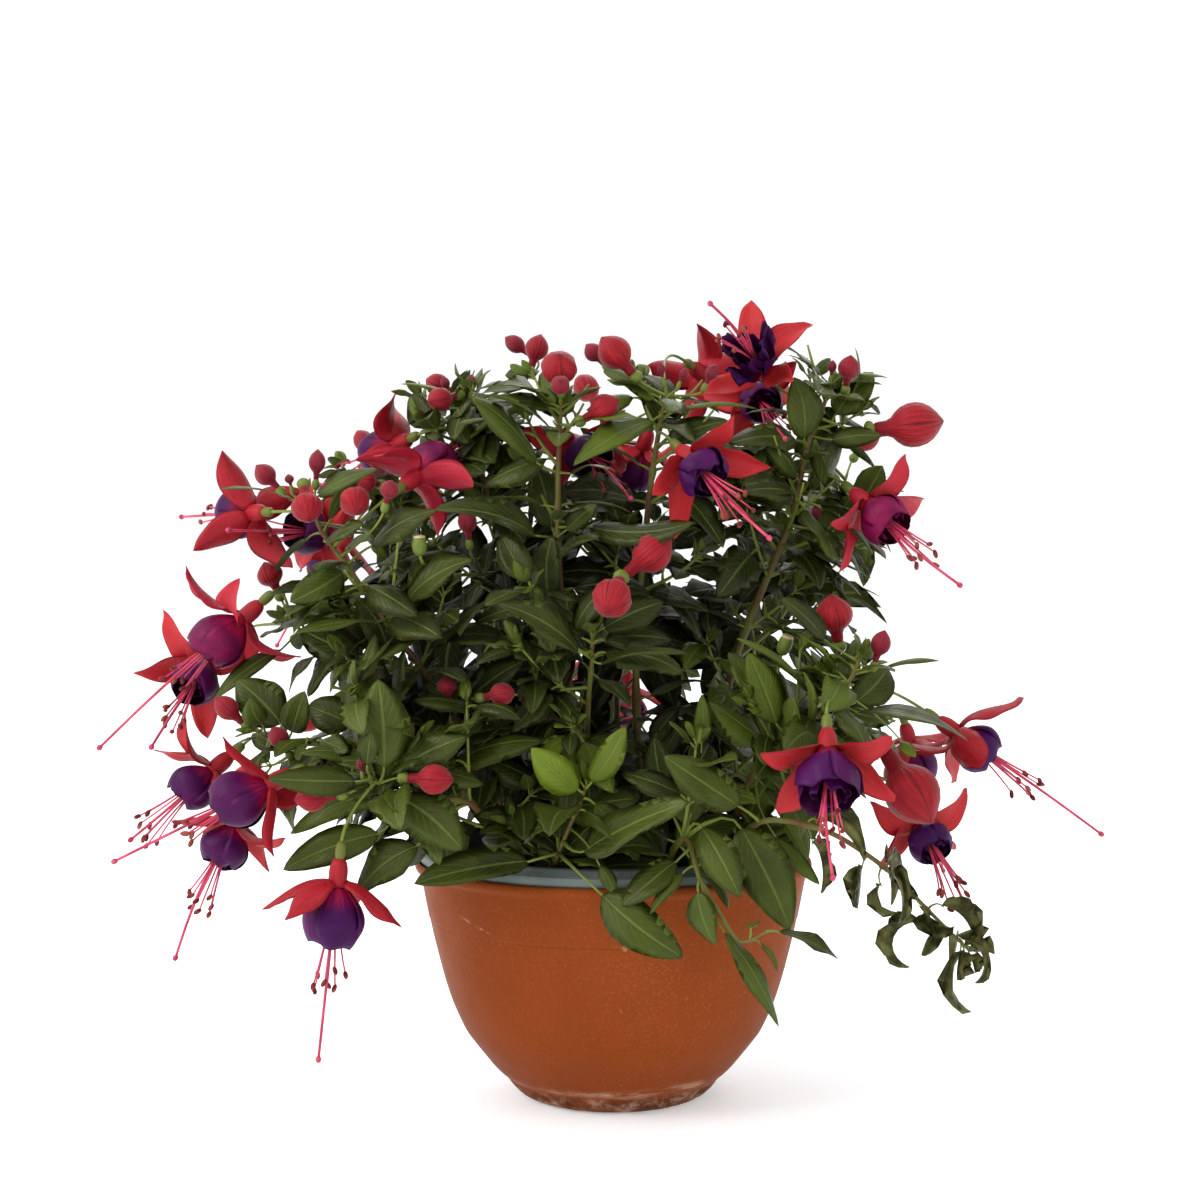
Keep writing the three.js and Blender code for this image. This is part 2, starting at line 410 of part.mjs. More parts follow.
// The tube, sepals and style of a bloom as one skin. The tube's four corners lie between its sepals.
function flowerBody({ at, axis, side, tips, styleLength }, extra) {
  const other = axis.clone().cross(side);
  const angle = (tip) => Math.atan2(tip.clone().sub(at(0)).dot(other), tip.clone().sub(at(0)).dot(side));
  const sorted = [...tips].sort((a, b) => angle(a) - angle(b));
  const turns = sorted.map(angle);
  const corners = turns.map((turn, k) => (turn + (k ? turns[k - 1] : turns.at(-1) - 2 * Math.PI)) / 2);
  const skin = new Skin();
  const ring = (distance, radius) => skin.ring(corners.map((corner) => at(distance)
    .addScaledVector(side, Math.cos(corner) * (radius + extra / 2))
    .addScaledVector(other, Math.sin(corner) * (radius + extra / 2))));
  const neck = ring(-BLOOM.tube, BLOOM.tubeNeck);
  const back = skin.join(skin.join(neck, ring(-BLOOM.tube * 0.5, BLOOM.tubeWide)), ring(-2, BLOOM.mouth));
  const mouth = ring(0, BLOOM.mouth);
  skin.cap([...neck].reverse());
  sorted.forEach((tip, k) => {
    const next = (k + 1) % sorted.length;
    const [first, second] = bladeRings({
      base: at(-1), tip, face: axis.clone().negate(), width: BLOOM.sepalWidth, curl: 0.5, wave: 0,
      thick: BLOOM.sepalThick, stations: [[0.4, 1, 0], [0.72, 0.76, 0]],
    }, extra).map((points) => skin.ring(points));
    const [right, rib, left] = first;
    skin.triangles.push(
      [back[k], back[next], rib], [back[k], rib, right],
      [back[next], left, rib], [back[next], mouth[next], left],
      [mouth[next], mouth[k], right], [mouth[next], right, left], [mouth[k], back[k], right],
    );
    skin.join(skin.join(first, second), skin.ring([tip]));
  });
  const thin = BLOOM.styleThick / 2;
  const style = [[0.6, thin * 1.4], [styleLength - 4, thin], [styleLength, 1.3]];
  skin.cap(style.reduce((low, [distance, radius]) => skin.join(low, ring(distance, radius)), mouth));
  return skin.solid();
}

// A cup of petals round an axis. It is one sheet that winds outwards, so its last petal laps over its first.
function cup(origin, axis, start, grow) {
  const side = unit(across(start, axis));
  const other = axis.clone().cross(side);
  const length = BLOOM.corolla + grow;
  const wide = BLOOM.corollaWide + grow;
  const section = [
    [BLOOM.cupHole + 0.5 - grow, 0.5], [wide, length * 0.62],
    [wide * 0.8, length], [wide - 1.6, length * 0.6],
  ];
  const innerSide = 2;
  const rings = Array.from({ length: CUP_SIDES + 1 }, (_, k) => {
    const angle = (2 * Math.PI * k) / CUP_SIDES;
    const out = side.clone().multiplyScalar(Math.cos(angle)).addScaledVector(other, Math.sin(angle));
    const petal = k % 2 ? 1 : -1;
    return section.map(([radius, height], step) => origin.clone()
      .addScaledVector(axis, height + (step === 2 ? petal * BLOOM.rimWave : 0))
      .addScaledVector(out, radius * (1 + (BLOOM.lap * k) / CUP_SIDES) + (step === 2 ? petal : 0)));
  });
  return loft(rings, innerSide);
}

function solidOf(geometry) {
  for (const name of ["normal", "uv"]) geometry.deleteAttribute(name);
  const merged = mergeVertices(geometry, 1e-4);
  const position = merged.attributes.position;
  const vertices = Array.from({ length: position.count }, (_, i) => vec().fromBufferAttribute(position, i));
  const index = merged.index.array;
  const triangles = [];
  for (let i = 0; i < index.length; i += 3) {
    const [a, b, c] = index.subarray(i, i + 3);
    if (a !== b && b !== c && a !== c) triangles.push([a, b, c]);
  }
  return manifoldFrom(vertices, triangles);
}

// A solid of revolution about +Z from a closed [radius, height] outline that starts and ends on the axis.
function turned(outline, sides = ROUND_SIDES) {
  const lathe = new THREE.LatheGeometry(outline.map(([r, z]) => new THREE.Vector2(r, z)), sides);
  return solidOf(lathe.rotateX(Math.PI / 2));
}

// ---- Bowl, inner pot and soil ---------------------------------------------------------------------

// The bowl's outline moved inwards, from the height "low" up to "high".
function inset(gap, low, high, between = BOWL_OUTLINE.map(([, h]) => h)) {
  const radiusAt = (z) => {
    const i = Math.max(1, BOWL_OUTLINE.findIndex(([, h]) => h >= z));
    const [[r0, z0], [r1, z1]] = [BOWL_OUTLINE[i - 1], BOWL_OUTLINE[i]];
    return r0 + ((r1 - r0) * (z - z0)) / (z1 - z0);
  };
  const heights = [low, ...between.filter((h) => h > low + 4 && h < high - 4), high];
  return heights.map((z) => [radiusAt(z) - gap, z]);
}

const bowlTop = BOWL_OUTLINE.at(-1)[1];
const WALL_SLACK = 0.5; // what the straight spans of a wall need
const bowlInside = inset(BOWL_WALL + WALL_SLACK, BOWL_WALL + 1, bowlTop - 0.5);
const bowl = turned([
  [0, 0], ...BOWL_OUTLINE,
  [BEAD.radius - 0.6, BEAD.low], [BEAD.radius, BEAD.low + 3], [BEAD.radius - 1, BEAD.high],
  [COLLAR.outer + FIT_GAP, BEAD.high], ...bowlInside.reverse(), [0, BOWL_WALL + 1],
]);

const potFloor = 2 * BOWL_WALL + FIT_GAP;
const potGap = BOWL_WALL + WALL_SLACK + FIT_GAP * 2;
const potOutside = inset(potGap, potFloor, bowlTop - 2, LINER_HEIGHTS);
const potInside = inset(potGap + POT_WALL, potFloor + POT_WALL, bowlTop - 2, LINER_HEIGHTS);
const potBody = turned([
  [0, potFloor], ...potOutside, [COLLAR.outer - 1, BEAD.high - 1], [COLLAR.outer, COLLAR.shoulder],
  [COLLAR.outer - 1.8, COLLAR.top], [COLLAR.inner, COLLAR.top],
  ...potInside.reverse(), [0, potFloor + POT_WALL],
]);

function drainHole(_, k) {
  const angle = (2 * Math.PI * k) / DRAIN_HOLES.count;
  const { radius, ring, sides } = DRAIN_HOLES;
  const cutter = new THREE.CylinderGeometry(radius, radius, 4 * POT_WALL, sides).rotateX(Math.PI / 2);
  return solidOf(cutter.translate(ring * Math.cos(angle), ring * Math.sin(angle), potFloor));
}
const drainHoles = Array.from({ length: DRAIN_HOLES.count }, drainHole);
const innerPot = drainHoles.reduce((pot, hole) => pot.subtract(hole), potBody);

const soilGap = potGap + FIT_GAP + POT_WALL;
const soilFoot = potFloor + POT_WALL + FIT_GAP;
const soilWall = inset(soilGap, soilFoot, SOIL.edge, LINER_HEIGHTS);
const soilBody = turned([[0, soilFoot], ...soilWall, [0, SOIL.crown]]);

// ---- Stems ----------------------------------------------------------------------------------------

// A point of a stem's axis, moved a little past it from where something that grows out of it is aimed.
const sink = (point, target, radius) => point.clone()
  .addScaledVector(unit(target.clone().sub(point)), -0.3 * radius);

const branches = new Map();
for (const stem of STEMS) {
  const points = stem.path.map((point) => place(stem, point));
  const start = stem.root
    ? [SOIL.depth, SOIL.crown + 6].map((height) => vec(stem.root[0], stem.root[1], height))
    : [sink(branches.get(stem.from[0]).points[stem.from[1] + 1], points[0], stem.radius)];
  branches.set(stem.name, { ...stem, points: [...start, ...points] });
}

const thickness = (branch, t) => branch.radius * (1 - 0.55 * t);

// Where something that reaches for a target is rooted in a branch: just past the axis, at the nearest place.
function rootFor(branch, target) {
  const steps = 8 * (branch.points.length - 1);
  const places = Array.from({ length: steps - 4 }, (_, i) => (i + 4) / steps);
  const away = (t) => along(branch.points, t).distanceTo(target);
  const t = places.reduce((best, next) => (away(next) < away(best) ? next : best));
  return sink(along(branch.points, t), target, thickness(branch, t));
}

const placed = []; // every piece so far: { node, solid, box }
const pieces = new Map(); // node name -> its pieces

const boxesMeet = (a, b) => [0, 1, 2].every((i) => a.min[i] <= b.max[i] && b.min[i] <= a.max[i]);

// Whether a solid stays clear of every piece of the other nodes.
function hasRoom(solid, node, except = []) {
  const box = solid.boundingBox();
  return placed.every((other) => other.node === node || except.includes(other.node)
    || !boxesMeet(box, other.box) || solid.intersect(other.solid).isEmpty());
}

function keep(node, solid) {
  placed.push({ node, solid, box: solid.boundingBox() });
  pieces.set(node, [...(pieces.get(node) ?? []), solid]);
}

keep("bowl", bowl);
keep("inner_pot", innerPot);

const holes = [];
for (const branch of branches.values()) {
  const radii = branch.points.map((_, i) => thickness(branch, i / (branch.points.length - 1)));
  const stem = tube(branch.points, radii, branch.radius > 1.8 ? 5 : 4);
  if (!hasRoom(stem, branch.node)) console.log("stem meets another node:", branch.name);
  keep(branch.node, stem);
  if (branch.root) {
    const heights = [SOIL.depth - FIT_GAP, SOIL.crown + 3];
    const ends = heights.map((height) => branch.points[0].clone().setZ(height));
    holes.push(tube(ends, [branch.radius + 0.9, branch.radius + 0.9], 6));
  }
}
const soil = holes.reduce((body, hole) => body.subtract(hole), soilBody);
keep("soil", soil);

// ---- Blooms ---------------------------------------------------------------------------------------

// How far each of four sepals is turned about the axis, so that they stand within EVEN_SLACK of a cross.
function evenTurns(reaches, axis) {
  const side = unit(across(reaches[0], axis));
  const other = axis.clone().cross(side);
  const angles = reaches.map((reach) => Math.atan2(reach.dot(other), reach.dot(side)));
  const order = [0, 1, 2, 3].sort((a, b) => angles[a] - angles[b]);
  const offsets = angles.map((angle, k) => angle - (order.indexOf(k) * Math.PI) / 2);
  const middle = offsets.reduce((sum, offset) => sum + offset, 0) / offsets.length;
  return offsets.map((offset) => clamp(offset - middle, -EVEN_SLACK, EVEN_SLACK) - (offset - middle));
}

// The parts of a bloom, from its mouth, style tip and sepal tips, moved back by "shift" in depth.
function bloomParts(bloom, shift, extra) {
  const spot = ([a, b, c]) => place(bloom, bloom.room ? [a, b + shift, c] : [a, b, c + shift]);
  const mouth = spot(bloom.mouth);
  const styleTip = spot(bloom.style);
  const axis = unit(styleTip.clone().sub(mouth));
  const at = (d) => mouth.clone().addScaledVector(axis, d);
  const grow = extra / 2;
  const reaches = bloom.sepals.map((tip) => spot(tip).sub(mouth));
  const turns = evenTurns(reaches, axis);
  const tips = reaches.map((reach, k) => {
    const forward = clamp(unit(reach).dot(axis), -0.75, 0.42);
    const length = clamp(reach.length() / BLOOM.sepal, 0.86, 1.06) * BLOOM.sepal;
    const outward = unit(across(reach, axis)).applyAxisAngle(axis, turns[k]);
    return mouth.clone().addScaledVector(axis, length * forward)
      .addScaledVector(outward, length * Math.sqrt(1 - forward * forward));
  });
  const side = unit(across(tips[0].clone().sub(mouth), axis));
  const other = axis.clone().cross(side);
  const red = [flowerBody({ at, axis, side, tips, styleLength: styleTip.distanceTo(mouth) }, extra)];
  for (let k = 0; k < BLOOM.stamenCount; k++) {
    const angle = (2 * Math.PI * (k + 0.37)) / BLOOM.stamenCount;
    const out = side.clone().multiplyScalar(Math.cos(angle)).addScaledVector(other, Math.sin(angle));
    const reach = BLOOM.stamen * (1 - 0.08 * k);
    red.push(tube([at(-1).addScaledVector(out, 1), at(reach).addScaledVector(out, 5.5)], [0, 1.1 + grow], 3));
  }
  const violet = cup(mouth, axis, side, grow);
  const ovaryEnd = at(-BLOOM.tube - 0.35);
  const ovaryFoot = at(-BLOOM.tube - BLOOM.ovary);
  const branch = branches.get(bloom.stem);
  const root = rootFor(branch, at(-BLOOM.tube - BLOOM.ovary - 14).add(vec(0, 0, -4)));
  const bend = ovaryFoot.clone().addScaledVector(axis, -0.4 * root.distanceTo(ovaryFoot));
  const arc = (t) => mix(mix(root, bend, t), mix(bend, ovaryFoot, t), t);
  const green = tube([root, arc(0.4), ovaryFoot, at(-BLOOM.tube - BLOOM.ovary * 0.45), ovaryEnd], [
    0, STALK.radius * 1.4, 1.2, BLOOM.ovaryWide, BLOOM.tubeNeck * 0.7].map((r) => (r ? r + grow : 0)), 4);
  return { red, violet, green, branch };
}

const SHIFTS = [0, 8, -8, 16, -16, 24, -24, 34, -34, 46, -46];
for (const bloom of BLOOMS) {
  const redName = `bloom_${bloom.name}`;
  const violetName = `corolla_${bloom.name}`;
  const shift = SHIFTS.find((amount) => [CLEARANCE, 0].every((extra) => {
    const { red, violet, green, branch } = bloomParts(bloom, amount, extra);
    return red.every((piece) => hasRoom(piece, redName) && piece.intersect(green).isEmpty())
      && hasRoom(violet, violetName) && hasRoom(green, branch.node) && violet.intersect(green).isEmpty();
  }));
  if (shift === undefined) console.log("no room for bloom", bloom.name);
  const { red, violet, green, branch } = bloomParts(bloom, shift ?? 0, 0);
  const redBody = wasm.Manifold.union(red);
  if (!redBody.intersect(violet).isEmpty()) console.log("cup meets its own sepals", bloom.name);
  red.forEach((piece) => keep(redName, piece));
  keep(violetName, violet);
  keep(branch.node, green);
}

// ---- Buds -----------------------------------------------------------------------------------------

function budParts(bud, shift, extra) {
  const spot = ([a, b, c]) => place(bud, bud.room ? [a, b + shift, c] : [a, b, c + shift]);
  const base = spot(bud.base);
  const tip = spot(bud.tip);
  const axis = unit(tip.clone().sub(base));
  const length = tip.distanceTo(base);
  const at = (share) => base.clone().addScaledVector(axis, length * share);
  const branch = branches.get(bud.stem);
  const root = rootFor(branch, base.clone().addScaledVector(axis, -10));
  const bend = base.clone().addScaledVector(axis, -0.35 * root.distanceTo(base));
  const arc = (t) => mix(mix(root, bend, t), mix(bend, base, t), t);
  const grow = extra / 2;
  const big = bud.wide > BIG_BUD;
  const line = [root, arc(0.4), base, ...(big ? [at(0.24)] : []), at(0.6), tip];
  const shares = [0.3, ...(big ? [0.5] : []), 1];
  const radii = [0, STALK.radius * 1.3 + grow, ...shares.map((share) => share * bud.wide + grow), 0];
  return { solid: tube(line, radii, big ? 6 : 4), branch };
}

for (const bud of BUDS) {
  const shift = SHIFTS.find((amount) => [CLEARANCE, 0].every((extra) => {
    const { solid, branch } = budParts(bud, amount, extra);
    return hasRoom(solid, branch.node);
  }));
  if (shift === undefined) {
    console.log("no room for a bud on", bud.stem, bud.base.join());
    continue;
  }
  const { solid, branch } = budParts(bud, shift, 0);
  keep(branch.node, solid);
}

// ---- Leaves ---------------------------------------------------------------------------------------

const STATIONS = [[0.28, 0.94, 1], [0.64, 0.8, -1]];
const LARGE_STATIONS = [[0.18, 0.78, 1], [0.42, 1, -1], [0.7, 0.72, 1]];

// Whether a leaf's blade carries on from its stalk, rather than doubling back over it.
const runsOn = ({ from, base, tip }) => unit(base.clone().sub(from)).dot(unit(tip.clone().sub(base))) > 0.2;

// A leaf on a branch, tried at turns about its stalk until it has room.
function growLeaf(branch, tries, stations) {
  const found = tries.filter(runsOn).find((leaf) => [CLEARANCE, 0].every(
    (extra) => hasRoom(leafSolid({ ...leaf, stations }, extra), branch.node)));
  if (found) keep(branch.node, leafSolid({ ...found, stations }));
  return Boolean(found);
}

const leafForm = { wave: LEAF.wave, thick: LEAF.thick, stalkWidth: LEAF.stalkWidth };
const DEPTH_TRIES = [0, 7, -7, 14, -14, 22, -22, 30, -30];

let grown = 0;
for (const leaf of LEAVES) {
  const branch = branches.get(leaf.stem);
  const form = { ...leafForm, curl: random(0.4, 0.9) };
  const tries = DEPTH_TRIES.map((shift) => {
    const base = photoPoint([leaf.base[0], leaf.base[1], leaf.base[2] + shift]);
    const tip = photoPoint([leaf.tip[0], leaf.tip[1], leaf.tip[2] + shift * 1.3]);
    const from = rootFor(branch, base.clone().addScaledVector(unit(tip.clone().sub(base)), -6));
    return { ...form, from, base, tip, face: vec(...FACING[leaf.face]), width: leaf.width };
  });
  if (growLeaf(branch, tries, LARGE_STATIONS)) grown += 1;
  else console.log("no room for the leaf at", leaf.tip.join());
}

// Opposite pairs up each shoot, each pair a quarter turn round from the last.
const TURN_TRIES = [0, 0.25, -0.25, 0.5, -0.5, 0.8, -0.8, 1.1, -1.1];
for (const branch of branches.values()) {
  const [first, last, size] = PAIRS[branch.name];
  const { points } = branch;
  const reach = points.slice(1).reduce((sum, p, i) => sum + p.distanceTo(points[i]), 0);
  const pairs = Math.max(1, Math.round((reach * (last - first)) / LEAF.spacing));
  const wilted = branch.name === "wilted";
  for (let pair = 0; pair < pairs; pair++) {
    const t = first + ((last - first) * (pair + 0.5)) / pairs;
    const from = along(points, t);
    const way = unit(along(points, Math.min(1, t + 0.02)).sub(along(points, t - 0.02)));
    const level = unit(across(Math.abs(way.z) < 0.9 ? vec(0, 0, 1) : vec(1, 0, 0), way));
    for (const sign of [1, -1]) {
      const length = LEAF.length * size * (1 - 0.5 * t * t) * random(0.85, 1.12);
      const width = length * LEAF.shape * random(0.88, 1.12) * (wilted ? 0.6 : 1);
      const spin = pair * 1.45 + random(-0.3, 0.3) + 0.5;
      const lean = random(0.25, 0.6);
      const droop = wilted ? 1.5 : random(0.2, 0.75);
      const form = { ...leafForm, curl: random(0.4, 1.1) * (wilted ? 1.8 : 1) };
      const tries = TURN_TRIES.flatMap((turn) => [0, 0.35].map((raise) => {
        const out = level.clone().applyAxisAngle(way, spin + turn).multiplyScalar(sign);
        const aim = unit(out.clone().addScaledVector(way, lean + raise));
        const base = from.clone().addScaledVector(aim, LEAF.stalk * (0.5 + 0.5 * size));
        const fall = unit(aim.clone().add(vec(0, 0, raise - droop)));
        const tip = base.clone().addScaledVector(fall, length);
        const face = vec(aim.x * 0.35, aim.y * 0.35, 1);
        return { ...form, from: sink(from, base, thickness(branch, t)), base, tip, face, width };
      }));
      if (growLeaf(branch, tries, STATIONS)) grown += 1;
    }
  }
}
console.log(grown, "leaves");

// ---- Assembly -------------------------------------------------------------------------------------

const finishes = {
  bowl: { color: 0x9c4a1e, roughness: 0.5 },
  inner_pot: { color: 0x5f666a, roughness: 0.55 },
  soil: { color: 0x1f140d, roughness: 1 },
  stem: { color: 0x3d5526, roughness: 0.55 },
  bloom: { color: 0xc8192a, roughness: 0.45 },
  corolla: { color: 0x4b1263, roughness: 0.5 },
};

const FINEST_EDGE = 0.02; // edges shorter than this are merged away after the pieces are fused

function meshOf(node, solids) {
  const whole = wasm.Manifold.union(solids).simplify(FINEST_EDGE);
  const parts = whole.decompose().sort((a, b) => b.volume() - a.volume());
  if (parts[1]?.volume() > 1) console.log(node, "drops a loose piece", parts[1].volume().toFixed(1));
  const mesh = parts[0].getMesh();
  const positions = new Float32Array(mesh.numVert * 3);
  for (let i = 0; i < mesh.numVert; i++) {
    positions.set(mesh.vertProperties.subarray(i * mesh.numProp, i * mesh.numProp + 3), i * 3);
  }
  const geometry = new THREE.BufferGeometry()
    .setAttribute("position", new THREE.BufferAttribute(positions, 3))
    .setIndex(new THREE.BufferAttribute(mesh.triVerts, 1));
  const kind = Object.keys(finishes).find((name) => node.startsWith(name));
  const made = new THREE.Mesh(geometry, new THREE.MeshStandardMaterial({ metalness: 0, ...finishes[kind] }));
  made.name = node;
  return made;
}

const fuchsia = new THREE.Group();
for (const [node, solids] of pieces) fuchsia.add(meshOf(node, solids));

export default fuchsia;
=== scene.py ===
"""A fuchsia in bloom in a terracotta hanging bowl that stands on its flat foot.

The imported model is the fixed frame. Each operator makes one piece, or one group of like pieces, as surfaces
worked out with numpy, where the frame has its plainer solid.
Lengths are millimetres up to the point where a mesh is filled in. +Z is up and -Y is towards the viewer.
"""

import json
import math

import bpy
import numpy as np
from bpy.props import FloatProperty, FloatVectorProperty, IntProperty, PointerProperty
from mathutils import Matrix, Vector

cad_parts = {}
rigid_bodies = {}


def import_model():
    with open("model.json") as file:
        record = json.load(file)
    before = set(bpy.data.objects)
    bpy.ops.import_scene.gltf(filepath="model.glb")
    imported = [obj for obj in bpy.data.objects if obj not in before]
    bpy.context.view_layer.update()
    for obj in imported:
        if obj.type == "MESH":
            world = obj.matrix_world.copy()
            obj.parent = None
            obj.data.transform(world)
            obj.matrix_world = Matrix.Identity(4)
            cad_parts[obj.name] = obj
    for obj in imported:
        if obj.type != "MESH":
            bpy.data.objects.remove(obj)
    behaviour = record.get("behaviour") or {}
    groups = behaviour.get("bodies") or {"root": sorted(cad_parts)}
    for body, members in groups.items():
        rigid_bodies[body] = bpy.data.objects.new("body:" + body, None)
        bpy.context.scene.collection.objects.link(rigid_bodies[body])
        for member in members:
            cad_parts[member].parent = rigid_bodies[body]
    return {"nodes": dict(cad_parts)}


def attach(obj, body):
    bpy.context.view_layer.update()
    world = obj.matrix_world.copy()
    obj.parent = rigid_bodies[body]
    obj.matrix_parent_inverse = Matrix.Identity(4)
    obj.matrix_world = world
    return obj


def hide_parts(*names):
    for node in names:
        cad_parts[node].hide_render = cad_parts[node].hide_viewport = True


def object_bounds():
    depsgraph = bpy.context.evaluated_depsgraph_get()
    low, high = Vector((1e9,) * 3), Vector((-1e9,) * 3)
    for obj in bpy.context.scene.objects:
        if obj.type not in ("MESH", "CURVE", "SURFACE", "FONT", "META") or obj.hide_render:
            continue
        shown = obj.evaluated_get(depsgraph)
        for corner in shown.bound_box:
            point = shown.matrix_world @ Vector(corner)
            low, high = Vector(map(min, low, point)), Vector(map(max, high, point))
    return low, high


bl_info = {
    "name": "Fuchsia in a hanging bowl",
    "version": (1, 0, 0),
    "blender": (4, 5, 0),
    "location": "3D View > Sidebar > Fuchsia",
    "description": "Makes a flowering fuchsia in a terracotta bowl, piece by piece",
    "category": "Add Mesh",
}

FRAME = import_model()
CAD_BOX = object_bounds()
MM = 0.001

# ---- The plant, read off the photograph ------------------------------------------------------------
# A point is [px, py, depth]: its place in the 1200 px picture and its depth Y in millimetres.
# Where "room" is set, points are [x, y, z] in millimetres.

EYE = dict(x=-7.4, distance=1200, height=310, focal_px=2183, centre_px=600, horizon_px=531)
EYE_PITCH = math.atan((EYE["centre_px"] - EYE["horizon_px"]) / EYE["focal_px"])
PICTURE_PX = 1200
SENSOR = 36

STEMS = [
    dict(node="stem_centre", name="centre", root=[-6, -16], radius=2.7,
        path=[[585, 770, -38], [565, 650, -52], [559, 560, -60],
            [558, 480, -62], [560, 425, -63], [561, 402, -63]]),
    dict(node="stem_centre", name="centre_side", parent=["centre", 1], radius=1.9,
        path=[[588, 705, -72], [592, 660, -92], [592, 632, -98]]),
    dict(node="stem_front", name="front", root=[-30, -72], radius=1.9,
        path=[[557, 858, -92], [576, 812, -98], [588, 782, -98]]),
    dict(node="stem_upper_left", name="upper_left", root=[-34, 6], radius=2.5,
        path=[[520, 660, 4], [496, 530, 0], [475, 448, -5], [467, 425, -8], [463, 403, -10]]),
    dict(node="stem_upper_left", name="back_left", parent=["upper_left", 1], radius=2, room=1,
        path=[[-95, 75, 262], [-128, 112, 310], [-142, 130, 345]]),
    dict(node="stem_left", name="left", root=[-44, -28], radius=2.5,
        path=[[470, 745, -50], [424, 672, -64], [390, 628, -70],
            [347, 566, -70], [322, 532, -68], [312, 508, -66]]),
    dict(node="stem_left", name="left_arm", parent=["left", 2], radius=1.7,
        path=[[372, 658, -54], [322, 640, -46], [287, 622, -42]]),
    dict(node="stem_upper_right", name="upper_right", root=[16, -10], radius=2.5,
        path=[[636, 660, -30], [648, 510, -45], [655, 455, -48], [662, 415, -50], [667, 393, -50]]),
    dict(node="stem_right", name="right", root=[44, 2], radius=2.6,
        path=[[735, 660, -2], [775, 560, -14], [791, 520, -18],
            [800, 480, -20], [808, 445, -20], [822, 410, -18], [831, 384, -18]]),
    dict(node="stem_right", name="back_right", parent=["right", 1], radius=2, room=1,
        path=[[98, 62, 262], [128, 100, 312], [142, 118, 345]]),
    dict(node="stem_low_right", name="low_right", root=[58, -34], radius=2.5,
        path=[[748, 785, -58], [775, 752, -76], [800, 728, -88],
            [829, 703, -94], [850, 680, -98], [861, 655, -98]]),
    dict(node="stem_wilted", name="wilted", root=[54, -48], radius=1.9,
        path=[[760, 822, -106], [826, 831, -112], [888, 870, -106],
            [923, 905, -102], [948, 930, -100], [970, 951, -98]]),
    dict(node="stem_front_right", name="front_right", root=[26, -78], radius=2,
        path=[[684, 838, -108], [700, 880, -126], [714, 922, -130]]),
    dict(node="stem_front_right", name="trailing", parent=["front_right", 2], radius=1.4,
        path=[[738, 940, -133], [770, 930, -136]]),
    dict(node="stem_low_left", name="low_left", root=[-56, -46], radius=2.3,
        path=[[474, 806, -92], [430, 798, -110], [392, 793, -118], [372, 776, -122]]),
    dict(node="stem_low_left", name="mid_left", parent=["low_left", 1], radius=1.9,
        path=[[430, 748, -72], [360, 742, -72], [298, 744, -74], [254, 730, -76]]),
    dict(node="stem_back", name="back", root=[2, 42], radius=2.6, room=1,
        path=[[2, 72, 220], [-4, 92, 310], [-4, 100, 372]]),
    dict(node="stem_back", name="back_low", parent=["back", 1], radius=2, room=1,
        path=[[6, 122, 228], [12, 168, 236], [14, 196, 222]]),
    dict(node="stem_back", name="back_low_left", parent=["back", 0], radius=2, room=1,
        path=[[-62, 96, 176], [-118, 132, 196], [-160, 150, 190]]),
    dict(node="stem_back", name="back_low_right", parent=["back", 0], radius=2, room=1,
        path=[[66, 92, 176], [124, 124, 196], [166, 138, 190]]),
]

